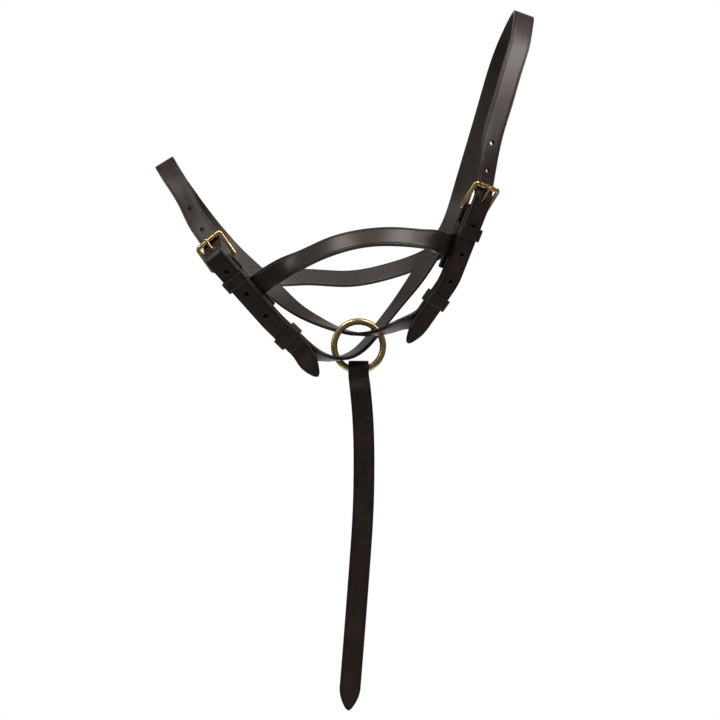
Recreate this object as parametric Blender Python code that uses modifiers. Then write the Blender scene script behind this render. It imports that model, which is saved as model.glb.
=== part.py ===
"""A foal halter of bridle leather with brass buckles and a jaw ring.

Two long straps make a figure of eight. The crown strap starts at the nose buckle, runs under the
jaw and through the ring, up the far side and over the poll to the crown buckle. The nose strap
starts at the crown buckle, runs through the ring, up the far side and over the nose to the nose
buckle. A cheek strap joins the two loops on each side, and a handling strap hangs from the ring.

Metres, +Z up. The foal faces -X, its near side is -Y, and the origin is where the crown lies on
the poll, at the inner face of the crown strap.
"""

import math

import bmesh
import bpy
import numpy as np
from mathutils import Matrix, Vector

# Leather
STRAP_WIDTH = 0.019
STRAP_THICKNESS = 0.0032
EDGE_ROUNDING = 0.0005
TIP_LENGTH = 0.021
TIP_BLUNT = 0.0015
HOLE_DIAMETER = 0.004
HOLE_SPACING = 0.0254
HOLES_ABOVE_TONGUE = 2
HOLES_BELOW_TONGUE = 3

# Fits
LAYER_GAP = 0.0003
SEAT_GAP = 0.0003

# Buckles, measured along the chape from the hinge bar
TURNBACK_LENGTH = 0.055
RUNNER_AT = 0.083
RUNNER_TRAVEL = 0.008
FRAME_LENGTH = 0.0245
FRAME_WIRE = 0.0030
FRAME_SIDE_ROOM = 0.0020
FRAME_CORNER = 0.0022
ROLLER_SHORTER = 0.0035
ROLLER_DIAMETER = 0.0046
ROLLER_BAR = 0.0022
ROLLER_ROOM = 0.0003
TONGUE_WIRE = 0.0024
TONGUE_SIDE_ROOM = 0.0006
TONGUE_OVERHANG = 0.0020
TONGUE_LIFT = 5.0
TONGUE_CURL = 215.0

# Keepers
KEEPER_LENGTH = 0.011
KEEPER_WALL = 0.0018
KEEPER_SIDE_ROOM = 0.0004

# Ring and tail
RING_ROOM = 0.019
RING_WIRE = 0.006
RING_X = -0.148
TAIL_TURNBACK = 0.047
TAIL_FOLD_WIDTH = 0.017
TAIL_LENGTH = 0.303

# Where the straps lie. Each buckle: a point of the chape at the hinge bar, the way the chape runs
# from there and the way its outer face looks, and the same for the strap at the runner.
NOSE_BUCKLE_AT = (-0.2636, -0.0560, -0.2273)
NOSE_CHAPE_RUNS = (0.643, 0.219, -0.734)
NOSE_CHAPE_FACES = (-0.148, -0.905, -0.399)
NOSE_RUNNER_RUNS = (0.705, 0.170, -0.689)
NOSE_RUNNER_FACES = (-0.18, -0.90, -0.40)
NOSE_FRAME_TILT = -16.0
NOSE_CREST_TO_ROLLER = 0.0170
NOSE_KEEPER_AT = 0.017
NOSE_CHEEK_AT = 0.0325
NOSE_TIP_AT = (-0.1830, -0.0430, -0.3231)

CROWN_BUCKLE_AT = (-0.0483, -0.0570, -0.1818)
CROWN_CHAPE_RUNS = (-0.354, 0.165, -0.920)
CROWN_CHAPE_FACES = (0.515, -0.780, -0.340)
CROWN_RUNNER_RUNS = (-0.566, 0.148, -0.811)
CROWN_RUNNER_FACES = (0.51, -0.73, -0.47)
CROWN_FRAME_TILT = 16.0
CROWN_CREST_TO_ROLLER = 0.0122
CROWN_KEEPER_AT = 0.018
CROWN_CHEEK_AT = 0.0345
CROWN_TIP_AT = (-0.1055, -0.0430, -0.2940)

# The free lengths, as points on the strap's middle and the way its outer face looks there
CROWN_STRAP_UNDER_JAW = (
    ((-0.1810, -0.0325, -0.3060), (-0.25, -0.38, -0.89)),
    ((-0.1690, -0.0255, -0.3080), (-0.10, -0.18, -0.98)),
    ((-0.1575, -0.0125, -0.3055), (0.08, -0.05, -1.00)),
    ((-0.1480, 0.0000, -0.3000), (0.30, 0.08, -0.95)),
    ((-0.1385, 0.0125, -0.2905), (0.50, 0.22, -0.84)),
    ((-0.1250, 0.0265, -0.2735), (0.65, 0.38, -0.66)),
    ((-0.1090, 0.0380, -0.2530), (0.69, 0.50, -0.52)),
)
CROWN_SEAT_AT = (-0.0770, 0.0520, -0.2060)
CROWN_SEAT_RUNS = (0.53, 0.16, 0.84)
CROWN_SEAT_FACES = (0.61, 0.71, -0.38)
CROWN_STRAP_OVER_POLL = (
    ((-0.0470, 0.0570, -0.1400), (0.16, 0.97, -0.09)),
    ((-0.0251, 0.0540, -0.0650), (0.06, 0.99, 0.03)),
    ((-0.0130, 0.0430, -0.0250), (0.18, 0.90, 0.37)),
    ((-0.0038, 0.0240, -0.0040), (0.34, 0.56, 0.73)),
    ((0.0005, 0.0000, 0.0016), (0.32, 0.00, 0.95)),
    ((-0.0031, -0.0150, -0.0118), (0.38, -0.56, 0.73)),
    ((-0.0062, -0.0240, -0.0273), (0.37, -0.79, 0.48)),
    ((-0.0149, -0.0350, -0.0552), (0.37, -0.90, 0.23)),
    ((-0.0242, -0.0430, -0.0857), (0.36, -0.92, 0.15)),
    ((-0.0344, -0.0500, -0.1150), (0.37, -0.92, 0.09)),
)

NOSE_STRAP_UNDER_JAW = (
    ((-0.1090, -0.0375, -0.2775), (0.35, -0.50, -0.78)),
    ((-0.1260, -0.0235, -0.2835), (0.18, -0.22, -0.96)),
    ((-0.1395, -0.0105, -0.2855), (0.05, -0.06, -0.99)),
    ((-0.1480, 0.0000, -0.2855), (-0.05, 0.00, -1.00)),
    ((-0.1565, 0.0105, -0.2840), (-0.15, 0.06, -0.99)),
    ((-0.1700, 0.0230, -0.2800), (-0.28, 0.18, -0.93)),
    ((-0.1885, 0.0345, -0.2715), (-0.43, 0.42, -0.79)),
    ((-0.2050, 0.0415, -0.2620), (-0.47, 0.57, -0.67)),
)
NOSE_SEAT_AT = (-0.2445, 0.0535, -0.2275)
NOSE_SEAT_RUNS = (-0.73, 0.10, 0.67)
NOSE_SEAT_FACES = (-0.45, 0.78, -0.44)
NOSE_STRAP_OVER_NOSE = (
    ((-0.2775, 0.0550, -0.1957), (-0.41, 0.89, -0.19)),
    ((-0.2935, 0.0500, -0.1766), (-0.41, 0.91, 0.01)),
    ((-0.3087, 0.0370, -0.1556), (-0.46, 0.79, 0.39)),
    ((-0.3197, 0.0190, -0.1383), (-0.50, 0.49, 0.70)),
    ((-0.3225, 0.0000, -0.1315), (-0.54, 0.00, 0.84)),
    ((-0.3148, -0.0135, -0.1427), (-0.56, -0.65, 0.51)),
    ((-0.3008, -0.0270, -0.1656), (-0.52, -0.82, 0.24)),
    ((-0.2899, -0.0375, -0.1862), (-0.48, -0.86, 0.18)),
)

NEAR_CHEEK_LEAVES_NOSE = 0.0
NEAR_CHEEK_LEAVES_CROWN = 7.0
NEAR_CHEEK_FREE = (
    ((-0.2000, -0.0680, -0.2254), (-0.14, -0.90, 0.42)),
    ((-0.1717, -0.0820, -0.2137), (-0.05, -0.84, 0.54)),
    ((-0.1442, -0.0860, -0.2071), (0.00, -0.81, 0.59)),
    ((-0.1152, -0.0840, -0.2055), (0.08, -0.84, 0.54)),
    ((-0.0882, -0.0740, -0.2080), (0.23, -0.92, 0.30)),
)
FAR_CHEEK_FREE = (
    ((-0.1970, 0.0722, -0.2297), (-0.12, 0.79, -0.60)),
    ((-0.1580, 0.0765, -0.2310), (0.00, 0.80, -0.60)),
    ((-0.1198, 0.0712, -0.2243), (0.22, 0.79, -0.57)),
)
CHEEK_END_SETBACK = 0.0015

# Tail strap: how far its middle lies towards +X from the ring's middle, by the depth below the ring
TAIL_DRIFT = (
    (0.000, 0.0000),
    (0.035, 0.0035),
    (0.085, 0.0049),
    (0.125, 0.0040),
    (0.165, 0.0015),
    (0.205, -0.0015),
    (0.250, -0.0050),
    (0.305, -0.0095),
)
TAIL_JOIN = 0.018

# How finely curved lengths are divided
LONGEST_STEP = 0.012
SHARPEST_TURN = 6.0
SAMPLE_STEP = 0.00025
STATION_STEP = 0.004
COLUMNS = 2
HOLE_SIDES = 16
ROUND_SIDES = 24

UP = np.array((0.0, 0.0, 1.0))


def unit(v):
    v = np.asarray(v, float)
    return v / np.linalg.norm(v)


def square_to(v, axis):
    """The unit vector nearest to v that is square to the axis."""
    v = np.asarray(v, float)
    axis = unit(axis)
    return unit(v - axis * v.dot(axis))


class Spline:
    """A natural cubic spline through rows of values."""

    def __init__(self, knots, values):
        n = len(knots)
        gap = np.diff(knots)
        rise = np.diff(values, axis=0) / gap[:, None]
        matrix = np.eye(n)
        right = np.zeros_like(values)
        for i in range(1, n - 1):
            matrix[i, i - 1] = gap[i - 1]
            matrix[i, i] = 2 * (gap[i - 1] + gap[i])
            matrix[i, i + 1] = gap[i]
            right[i] = 6 * (rise[i] - rise[i - 1])
        self.knots = knots
        self.values = values
        self.bend = np.linalg.solve(matrix, right)

    def at(self, places):
        i = np.clip(np.searchsorted(self.knots, places) - 1, 0, len(self.knots) - 2)
        gap = (self.knots[i + 1] - self.knots[i])[:, None]
        b = (places - self.knots[i])[:, None] / gap
        a = 1 - b
        straight = a * self.values[i] + b * self.values[i + 1]
        curve = (a**3 - a) * self.bend[i] + (b**3 - b) * self.bend[i + 1]
        return straight + curve * gap**2 / 6


class Route:
    """The middle of a strap: a smooth curve through stations, with the way its outer face looks."""

    def __init__(self, stations):
        points = np.array([point for point, _ in stations], float)
        faces = np.array([unit(face) for _, face in stations], float)
        knots = np.concatenate([[0], np.cumsum(np.linalg.norm(np.diff(points, axis=0), axis=1))])
        samples = np.linspace(0, knots[-1], int(knots[-1] / SAMPLE_STEP))
        self.middle = Spline(knots, points).at(samples)
        steps = np.linalg.norm(np.diff(self.middle, axis=0), axis=1)
        self.places = np.concatenate([[0], np.cumsum(steps)])
        self.length = self.places[-1]
        along = np.gradient(self.middle, axis=0)
        self.along = along / np.linalg.norm(along, axis=1)[:, None]
        facing = Spline(knots, faces).at(samples)
        facing -= (facing * self.along).sum(axis=1)[:, None] * self.along
        self.facing = facing / np.linalg.norm(facing, axis=1)[:, None]

    def read(self, rows, place):
        return np.array([np.interp(place, self.places, rows[:, k]) for k in range(3)])

    def frame(self, place):
        """The point, the direction of travel, the outer face's normal and the way across."""
        along = unit(self.read(self.along, place))
        facing = square_to(self.read(self.facing, place), along)
        return self.read(self.middle, place), along, facing, np.cross(facing, along)

    def nearest(self, point):
        """The place along the route that lies nearest to a point."""
        return self.places[np.argmin(np.linalg.norm(self.middle - np.asarray(point), axis=1))]

    def divisions(self):
        """Places for the mesh: close where the route turns or twists, wide where it is straight."""
        found = [0.0]
        turned = 0.0
        for i in range(1, len(self.places)):
            bend = np.linalg.norm(self.along[i] - self.along[i - 1])
            twist = np.linalg.norm(self.facing[i] - self.facing[i - 1])
            turned += max(bend, twist)
            if turned > math.radians(SHARPEST_TURN) or self.places[i] - found[-1] > LONGEST_STEP:
                found.append(self.places[i])
                turned = 0.0
        if self.length - found[-1] < LONGEST_STEP / 4:
            found.pop()
        return found + [self.length]


def straight(middle, runs, faces, length):
    """Close stations of a straight, untwisted length with its middle at a point."""
    runs = unit(runs)
    faces = square_to(faces, runs)
    shifts = np.linspace(-length / 2, length / 2, round(length / STATION_STEP) + 2)
    return [(np.asarray(middle) + runs * shift, faces) for shift in shifts]


def straight_from(start, runs, faces, length):
    return straight(np.asarray(start) + unit(runs) * length / 2, runs, faces, length)


# Layers of a buckle's stack, as distances from the middle of the strap's outer layer
LAYER = STRAP_THICKNESS + LAYER_GAP
BAR_TO_CHAPE = FRAME_WIRE / 2 + SEAT_GAP + STRAP_THICKNESS / 2
BAR_TO_BILLET = BAR_TO_CHAPE + LAYER
ROLLER_TO_BILLET = ROLLER_DIAMETER / 2 + SEAT_GAP + STRAP_THICKNESS / 2
CHAPE_BEND = 0.012
TURNBACK_JOIN = 0.014
ROLLER_LENGTH = STRAP_WIDTH - ROLLER_SHORTER
RUNNER_REACH = RUNNER_AT + KEEPER_LENGTH / 2 + RUNNER_TRAVEL + 0.002


class Buckle:
    """Where a buckle sits on its chape, and how the other strap's billet passes through it."""

    def __init__(
        self, at, chape_runs, chape_faces, runner_runs, runner_faces, tilt, to_crest, keeper_at, cheek_at
    ):
        runs = unit(chape_runs)
        faces = square_to(chape_faces, runs)
        self.keeper_at = keeper_at
        self.cheek_at = cheek_at
        self.straight = max(TURNBACK_LENGTH, cheek_at + STRAP_WIDTH) + 0.002
        chape = straight_from(at, runs, faces, self.straight)
        bend = unit(runs + unit(runner_runs))
        runner_start = chape[-1][0] + bend * CHAPE_BEND
        room = RUNNER_REACH - self.straight - CHAPE_BEND
        self.chape = chape + straight_from(runner_start, runner_runs, runner_faces, room)
        self.base = Route(self.chape)
        self.hinge = np.asarray(at) - faces * BAR_TO_CHAPE
        self.across = np.cross(faces, runs)
        self.tilt = math.radians(tilt)
        # The frame may lean out from the chape: its own directions to the roller and outwards.
        self.to_roller = -runs * math.cos(self.tilt) + faces * math.sin(self.tilt)
        self.outwards = faces * math.cos(self.tilt) + runs * math.sin(self.tilt)
        # The billet dips from a crest over the chape's end to the under side of the roller.
        self.roller = self.point(FRAME_LENGTH, 0)
        crest = FRAME_LENGTH - to_crest
        self.crest = self.hinge - runs * crest
        crest_along = crest * math.cos(self.tilt)
        crest_out = -crest * math.sin(self.tilt)
        span = math.hypot(FRAME_LENGTH - crest_along, crest_out)
        rise = math.asin(-crest_out / span)
        self.slope = math.asin((BAR_TO_BILLET + ROLLER_TO_BILLET) / span) - rise
        self.dips_at = crest_along + BAR_TO_BILLET * math.sin(self.slope)
        self.dips_from = crest_out + BAR_TO_BILLET * math.cos(self.slope)

    def point(self, along, out):
        return self.hinge + self.to_roller * along + self.outwards * out

    def matrix(self):
        columns = (self.across, self.to_roller, self.outwards, self.hinge)
        return Matrix([[float(c[k]) for c in columns] for k in range(3)] + [[0, 0, 0, 1]])

    def facing(self, angle):
        """The way the outer face looks where the billet is turned from the frame by an angle."""
        return self.to_roller * math.sin(angle) + self.outwards * math.cos(angle)

    def leaves(self, point):
        """The angle at which the billet comes off the roller to run straight to a point."""
        shift = np.asarray(point) - self.roller
        along = shift.dot(self.to_roller)
        out = shift.dot(self.outwards)
        return -math.atan2(out, along) - math.asin(ROLLER_TO_BILLET / math.hypot(along, out))

    def billet_above(self, last):
        """Stations of the billet from under the roller to the crest, coming from a point."""
        first = self.facing(self.leaves(last))
        start = self.roller - first * ROLLER_TO_BILLET
        back = unit(np.asarray(last) - start)
        found = [(start + back * length, first) for length in (0.015, 0.010, 0.006, 0.003)]
        for angle in np.linspace(self.leaves(last), self.slope, 4):
            facing = self.facing(angle)
            found.append((self.roller - facing * ROLLER_TO_BILLET, facing))
        facing = self.facing(self.slope)
        dip = self.crest + facing * BAR_TO_BILLET - found[-1][0]
        start = found[-1][0]
        found += [(start + dip * share, facing) for share in (0.2, 0.5, 0.8)]
        for angle in np.linspace(self.slope, self.tilt, 5):
            facing = self.facing(angle)
            found.append((self.crest + facing * BAR_TO_BILLET, facing))
        return found

    def billet_below(self, tip):
        """Stations of the billet from below the hinge bar, over the chape, to its tip."""
        places = np.arange(0.001, self.base.length, STATION_STEP)
        found = [self.layer(place, 1) for place in places]
        start, facing = found[-1]
        found.append((start + (np.asarray(tip) - start) * 0.5, facing))
        found.append((np.asarray(tip, float), facing))
        return found

    def layer(self, place, step):
        middle, _, facing, _ = self.base.frame(place)
        return middle + facing * LAYER * step, facing

    def turnback(self):
        """Stations of the chape's inner layer and of its fold round the hinge bar."""
        runs = -unit(self.chape[1][0] - self.chape[0][0])
        faces = self.chape[0][1]
        shift = -2 * LAYER
        found = []
        for place in np.arange(TURNBACK_LENGTH, TURNBACK_JOIN, -STATION_STEP):
            middle, _, facing, _ = self.base.frame(place)
            found.append((middle + facing * shift, -facing))
        for place in (0.004, 0.002):
            point = np.asarray(self.chape[0][0]) - runs * place - faces * 2 * BAR_TO_CHAPE
            found.append((point, -faces))
        for angle in np.radians((-90, -60, -30, 0, 30, 60)):
            out = runs * math.cos(angle) + faces * math.sin(angle)
            found.append((self.hinge + out * BAR_TO_CHAPE, out))
        return found


NOSE_BUCKLE = Buckle(
    NOSE_BUCKLE_AT,
    NOSE_CHAPE_RUNS,
    NOSE_CHAPE_FACES,
    NOSE_RUNNER_RUNS,
    NOSE_RUNNER_FACES,
    NOSE_FRAME_TILT,
    NOSE_CREST_TO_ROLLER,
    NOSE_KEEPER_AT,
    NOSE_CHEEK_AT,
)
CROWN_BUCKLE = Buckle(
    CROWN_BUCKLE_AT,
    CROWN_CHAPE_RUNS,
    CROWN_CHAPE_FACES,
    CROWN_RUNNER_RUNS,
    CROWN_RUNNER_FACES,
    CROWN_FRAME_TILT,
    CROWN_CREST_TO_ROLLER,
    CROWN_KEEPER_AT,
    CROWN_CHEEK_AT,
)
SEAT_LENGTH = 1.7 * STRAP_WIDTH + 0.008


def long_strap_route(start, under_jaw, seat, over_head, end, tip):
    """A strap from one buckle's chape to its tip beyond the other buckle."""
    stations = start.turnback() + start.chape
    stations += list(under_jaw) + straight(*seat, SEAT_LENGTH) + list(over_head)
    stations += end.billet_above(stations[-1][0]) + end.billet_below(tip)
    return Route(stations)


def crown_strap_route():
    seat = (CROWN_SEAT_AT, CROWN_SEAT_RUNS, CROWN_SEAT_FACES)
    return long_strap_route(
        NOSE_BUCKLE, CROWN_STRAP_UNDER_JAW, seat, CROWN_STRAP_OVER_POLL, CROWN_BUCKLE, CROWN_TIP_AT
    )


def nose_strap_route():
    seat = (NOSE_SEAT_AT, NOSE_SEAT_RUNS, NOSE_SEAT_FACES)
    return long_strap_route(
        CROWN_BUCKLE, NOSE_STRAP_UNDER_JAW, seat, NOSE_STRAP_OVER_NOSE, NOSE_BUCKLE, NOSE_TIP_AT
    )


def near_cheek_route():
    """From the nose buckle's chape to the crown buckle's, each end sewn between two layers."""
    ends = []
    for buckle, side, angle in (
        (NOSE_BUCKLE, 1, NEAR_CHEEK_LEAVES_NOSE),
        (CROWN_BUCKLE, -1, NEAR_CHEEK_LEAVES_CROWN),
    ):
        middle, along, facing, across = buckle.base.frame(buckle.cheek_at)
        turn = math.radians(angle)
        leaves = across * side * math.cos(turn) + along * math.sin(turn)
        start = middle - facing * LAYER - leaves * (STRAP_WIDTH / 2 - CHEEK_END_SETBACK)
        length = 1.35 * STRAP_WIDTH
        ends.append(straight_from(start, leaves, facing, length))
    return Route(ends[0] + list(NEAR_CHEEK_FREE) + ends[1][::-1])


def far_cheek_route():
    """From the nose strap to the crown strap on the far side, each end sewn on the outer face."""
    ends = []
    for seat_at, seat_runs, seat_faces, towards in (
        (NOSE_SEAT_AT, NOSE_SEAT_RUNS, NOSE_SEAT_FACES, FAR_CHEEK_FREE[0][0]),
        (CROWN_SEAT_AT, CROWN_SEAT_RUNS, CROWN_SEAT_FACES, FAR_CHEEK_FREE[-1][0]),
    ):
        facing = square_to(seat_faces, seat_runs)
        leaves = square_to(np.asarray(towards) - np.asarray(seat_at), facing)
        start = np.asarray(seat_at) + facing * LAYER - leaves * (STRAP_WIDTH / 2 - CHEEK_END_SETBACK)
        length = 1.35 * STRAP_WIDTH
        ends.append(straight_from(start, leaves, facing, length))
    return Route(ends[0] + list(FAR_CHEEK_FREE) + ends[1][::-1])


# Ring
RING_RADIUS = (STRAP_WIDTH + RING_ROOM + RING_WIRE) / 2


def edge_points(route, low, high):
    """Points of both faces of a strap's two edges and middle, between two places."""
    found = []
    for place in np.arange(low, high, 0.0005):
        middle, _, facing, across = route.frame(place)
        for side in (-0.5, -0.25, 0, 0.25, 0.5):
            for layer in (-0.5, 0.5):
                found.append(middle + across * side * STRAP_WIDTH + facing * layer * STRAP_THICKNESS)
    return np.array(found)


def gap_to_ring(points, centre):
    shift = points - centre
    from_wire = np.hypot(shift[:, 0], shift[:, 2]) - RING_RADIUS
    return np.hypot(from_wire, shift[:, 1]).min() - RING_WIRE / 2


def hung_ring_centre(route):
    """The ring hangs on the nose strap: it is lowered until it just touches, less the seat gap."""
    crossing = route.nearest(NOSE_STRAP_UNDER_JAW[3][0])
    points = edge_points(route, crossing - 0.030, crossing + 0.030)
    free = route.frame(crossing)[0][2]
    touching = free - RING_RADIUS
    while free - touching > 0.00001:
        height = (free + touching) / 2
        if gap_to_ring(points, np.array((RING_X, 0.0, height))) > SEAT_GAP:
            free = height
        else:
            touching = height
    return np.array((RING_X, 0.0, free))


def collection(name):
    made = bpy.data.collections.new(name)
    bpy.context.scene.collection.children.link(made)
    return made


def clear_scene():
    for old in list(bpy.data.objects):
        bpy.data.objects.remove(old)


def material(name, colour, roughness, metallic=0.0):
    made = bpy.data.materials.new(name)
    made.use_nodes = True
    shader = made.node_tree.nodes["Principled BSDF"]
    shader.inputs["Base Color"].default_value = (*colour, 1.0)
    shader.inputs["Roughness"].default_value = roughness
    shader.inputs["Metallic"].default_value = metallic
    return made


def add_object(name, data, group, look=None, parent=None, matrix=None):
    made = bpy.data.objects.new(name, data)
    group.objects.link(made)
    if matrix is not None:
        made.matrix_world = matrix
    if parent is not None:
        made.parent = parent
    if look is not None:
        data.materials.append(look)
    return made


def strip_mesh(name, route, half_width):
    """An open strip along a route. half_width gives half its width at a place."""
    places = route.divisions()
    bm = bmesh.new()
    bmesh.ops.create_grid(bm, x_segments=COLUMNS, y_segments=len(places) - 1, size=1.0)
    for vertex in bm.verts:
        column = vertex.co.x
        place = places[round((vertex.co.y + 1) / 2 * (len(places) - 1))]
        middle, _, _, across = route.frame(place)
        vertex.co = Vector(middle - across * column * half_width(place))
    mesh = bpy.data.meshes.new(name)
    bm.to_mesh(mesh)
    bm.free()
    return mesh


def strap(name, route, half_width, group, look, cutter=None):
    """A leather strap: an open strip with thickness, rounded edges and any holes."""
    made = add_object(name, strip_mesh(name, route, half_width), group, look)
    thickness = made.modifiers.new("Thickness", "SOLIDIFY")
    thickness.thickness = STRAP_THICKNESS
    thickness.offset = 0.0
    thickness.use_even_offset = True
    edges = made.modifiers.new("Edges", "BEVEL")
    edges.width = EDGE_ROUNDING
    edges.segments = 1
    edges.limit_method = "ANGLE"
    edges.angle_limit = math.radians(50)
    if cutter is not None:
        holes = made.modifiers.new("Holes", "BOOLEAN")
        holes.operation = "DIFFERENCE"
        holes.object = cutter
    return made


def pointed(route, width=STRAP_WIDTH):
    """Half the width of a strap that ends in a blunt point."""

    def half_width(place):
        left = min((route.length - place) / TIP_LENGTH, 1.0)
        return TIP_BLUNT + (width / 2 - TIP_BLUNT) * (1 - (1 - left) ** 2)

    return half_width


def plain_width(place):
    return STRAP_WIDTH / 2


def placed(columns, origin):
    return Matrix([[float(c[k]) for c in (*columns, origin)] for k in range(3)] + [[0, 0, 0, 1]])


def add_cylinder(bm, radius, depth, matrix, sides=HOLE_SIDES):
    bmesh.ops.create_cone(
        bm,
        cap_ends=True,
        segments=sides,
        radius1=radius,
        radius2=radius,
        depth=depth,
        matrix=matrix,
    )


def add_tongue_slot(bm, buckle):
    """The slot in the chape's fold, through which the tongue turns on the hinge bar."""
    reach = FRAME_WIRE / 2 + SEAT_GAP + TONGUE_WIRE + 2 * TONGUE_SIDE_ROOM
    width = TONGUE_WIRE + 2 * TONGUE_SIDE_ROOM
    far = BAR_TO_BILLET + STRAP_THICKNESS
    middle = buckle.hinge + buckle.to_roller * (far - reach) / 2
    axes = (buckle.across * width, buckle.to_roller * (far + reach), buckle.outwards * 2 * far)
    bmesh.ops.create_cube(bm, size=1.0, matrix=placed(axes, middle))


def tongue_height(along):
    """How far the tongue's middle lies out from the frame, from the curl to the roller."""
    start = FRAME_WIRE / 2 + SEAT_GAP + TONGUE_WIRE / 2
    end = ROLLER_DIAMETER / 2 + SEAT_GAP + TONGUE_WIRE / 2
    return start + (end - start) * along / FRAME_LENGTH


def add_tongue_hole(bm, buckle):
    """The hole in the billet, cut along the tongue and wide enough for it to lift."""
    radius = TONGUE_WIRE / 2 + SEAT_GAP
    points = []
    for lift in (-0.5, TONGUE_LIFT + 0.5):
        turn = math.radians(lift)
        for along in (0.002, 0.021):
            out = tongue_height(along)
            ahead = along * math.cos(turn) - out * math.sin(turn)
            above = along * math.sin(turn) + out * math.cos(turn)
            centre = buckle.point(ahead, above)
            for k in range(HOLE_SIDES):
                angle = 2 * math.pi * k / HOLE_SIDES
                ring = buckle.across * math.cos(angle) + buckle.outwards * math.sin(angle)
                points.append(bm.verts.new(Vector(centre + ring * radius)))
    made = bmesh.ops.convex_hull(bm, input=points)
    inside = [v for v in made["geom_interior"] if isinstance(v, bmesh.types.BMVert)]
    bmesh.ops.delete(bm, geom=inside, context="VERTS")


def tongue_crossing(buckle):
    """Where the tongue's middle meets the middle of the billet, as a point."""
    for along in np.arange(0, FRAME_LENGTH, 0.0001):
        billet = buckle.dips_from - (along - buckle.dips_at) * math.tan(buckle.slope)
        if billet < tongue_height(along):
            break
    return buckle.point(along, tongue_height(along))


def strap_cutter(name, route, start, end, group):
    """Everything that is cut from a long strap: the tongue's slot and hole, and the punched holes."""
    bm = bmesh.new()
    add_tongue_slot(bm, start)
    add_tongue_hole(bm, end)
    tongue = route.nearest(tongue_crossing(end))
    for step in range(-HOLES_ABOVE_TONGUE, HOLES_BELOW_TONGUE + 1):
        if step == 0:
            continue
        middle, along, facing, across = route.frame(tongue + step * HOLE_SPACING)
        matrix = placed((across, along, facing), middle)
        add_cylinder(bm, HOLE_DIAMETER / 2, STRAP_THICKNESS + 2 * LAYER_GAP, matrix)
    bmesh.ops.recalc_face_normals(bm, faces=bm.faces)
    mesh = bpy.data.meshes.new(name)
    bm.to_mesh(mesh)
    bm.free()
    made = add_object(name, mesh, group)
    made.hide_render = True
    made.display_type = "WIRE"
    return made


def tube(name, points, radius, group, look, parent, cyclic=False):
    """A wire along points (x, y, z, share of the radius), in its parent's space."""
    curve = bpy.data.curves.new(name, "CURVE")
    curve.dimensions = "3D"
    curve.bevel_depth = radius
    curve.bevel_resolution = 4
    curve.use_fill_caps = not cyclic
    line = curve.splines.new("POLY")
    line.points.add(len(points) - 1)
    for point, (x, y, z, share) in zip(line.points, points):
        point.co = (x, y, z, 1.0)
        point.radius = share
    line.use_cyclic_u = cyclic
    line.use_smooth = True
    return add_object(name, curve, group, look, parent)


def corner(x, y, radius, start, steps=5):
    """Points round a corner of the frame whose arc has its middle at x, y."""
    angles = np.radians(np.linspace(start, start + 90, steps))
    return [(x + radius * math.cos(a), y + radius * math.sin(a), 0.0, 1.0) for a in angles]


def buckle_frame(name, group, look, parent):
    """A rectangular wire frame with round corners, whose front bar is turned down for the roller."""
    half = STRAP_WIDTH / 2 + FRAME_SIDE_ROOM + FRAME_WIRE / 2
    inner = half - FRAME_CORNER
    thin = ROLLER_BAR / FRAME_WIRE
    shoulder = ROLLER_LENGTH / 2 + 2 * ROLLER_ROOM
    front = FRAME_LENGTH - FRAME_CORNER
    points = corner(inner, front, FRAME_CORNER, 0)
    points += [(shoulder + 0.0002, FRAME_LENGTH, 0.0, 1.0), (shoulder, FRAME_LENGTH, 0.0, thin)]
    points += [(-shoulder, FRAME_LENGTH, 0.0, thin), (-shoulder - 0.0002, FRAME_LENGTH, 0.0, 1.0)]
    points += corner(-inner, front, FRAME_CORNER, 90)
    points += corner(-inner, FRAME_CORNER, FRAME_CORNER, 180)
    points += corner(inner, FRAME_CORNER, FRAME_CORNER, 270)
    return tube(name, points, FRAME_WIRE / 2, group, look, parent, cyclic=True)


def buckle_roller(name, group, look, parent):
    """A tube that turns on the front bar: a short wall, turned about the bar."""
    inner = ROLLER_BAR / 2 + ROLLER_ROOM
    outer = ROLLER_DIAMETER / 2
    half = ROLLER_LENGTH / 2
    soft = (outer - inner) / 3
    profile = (
        (inner, -half),
        (outer - soft, -half),
        (outer, soft - half),
        (outer, half - soft),
        (outer - soft, half),
        (inner, half),
    )
    bm = bmesh.new()
    points = [bm.verts.new((x, 0.0, r)) for r, x in profile]
    for a, b in zip(points, points[1:] + points[:1]):
        bm.edges.new((b, a))
    mesh = bpy.data.meshes.new(name)
    bm.to_mesh(mesh)
    bm.free()
    made = add_object(name, mesh, group, look, parent)
    made.location = (0.0, FRAME_LENGTH, 0.0)
    turn = made.modifiers.new("Turn", "SCREW")
    turn.axis = "X"
    turn.steps = turn.render_steps = ROUND_SIDES
    turn.use_merge_vertices = True
    turn.merge_threshold = 0.00001
    turn.use_normal_calculate = True
    return made


def buckle_tongue(name, group, look, parent):
    """A wire curled round the hinge bar, lying on the roller, with a tapered end."""
    curl = FRAME_WIRE / 2 + SEAT_GAP + TONGUE_WIRE / 2
    points = []
    for angle in np.radians(np.linspace(90 + TONGUE_CURL, 90, 13)):
        points.append((0.0, curl * math.cos(angle), curl * math.sin(angle), 1.0))
    for share in (0.25, 0.5, 0.75, 1.0):
        along = FRAME_LENGTH * share
        points.append((0.0, along, tongue_height(along), 1.0))
    end = FRAME_LENGTH + TONGUE_OVERHANG
    height = tongue_height(FRAME_LENGTH)
    points.append((0.0, end - 0.0010, height, 0.85))
    points.append((0.0, end, height, 0.45))
    return tube(name, points, TONGUE_WIRE / 2, group, look, parent)


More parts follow.
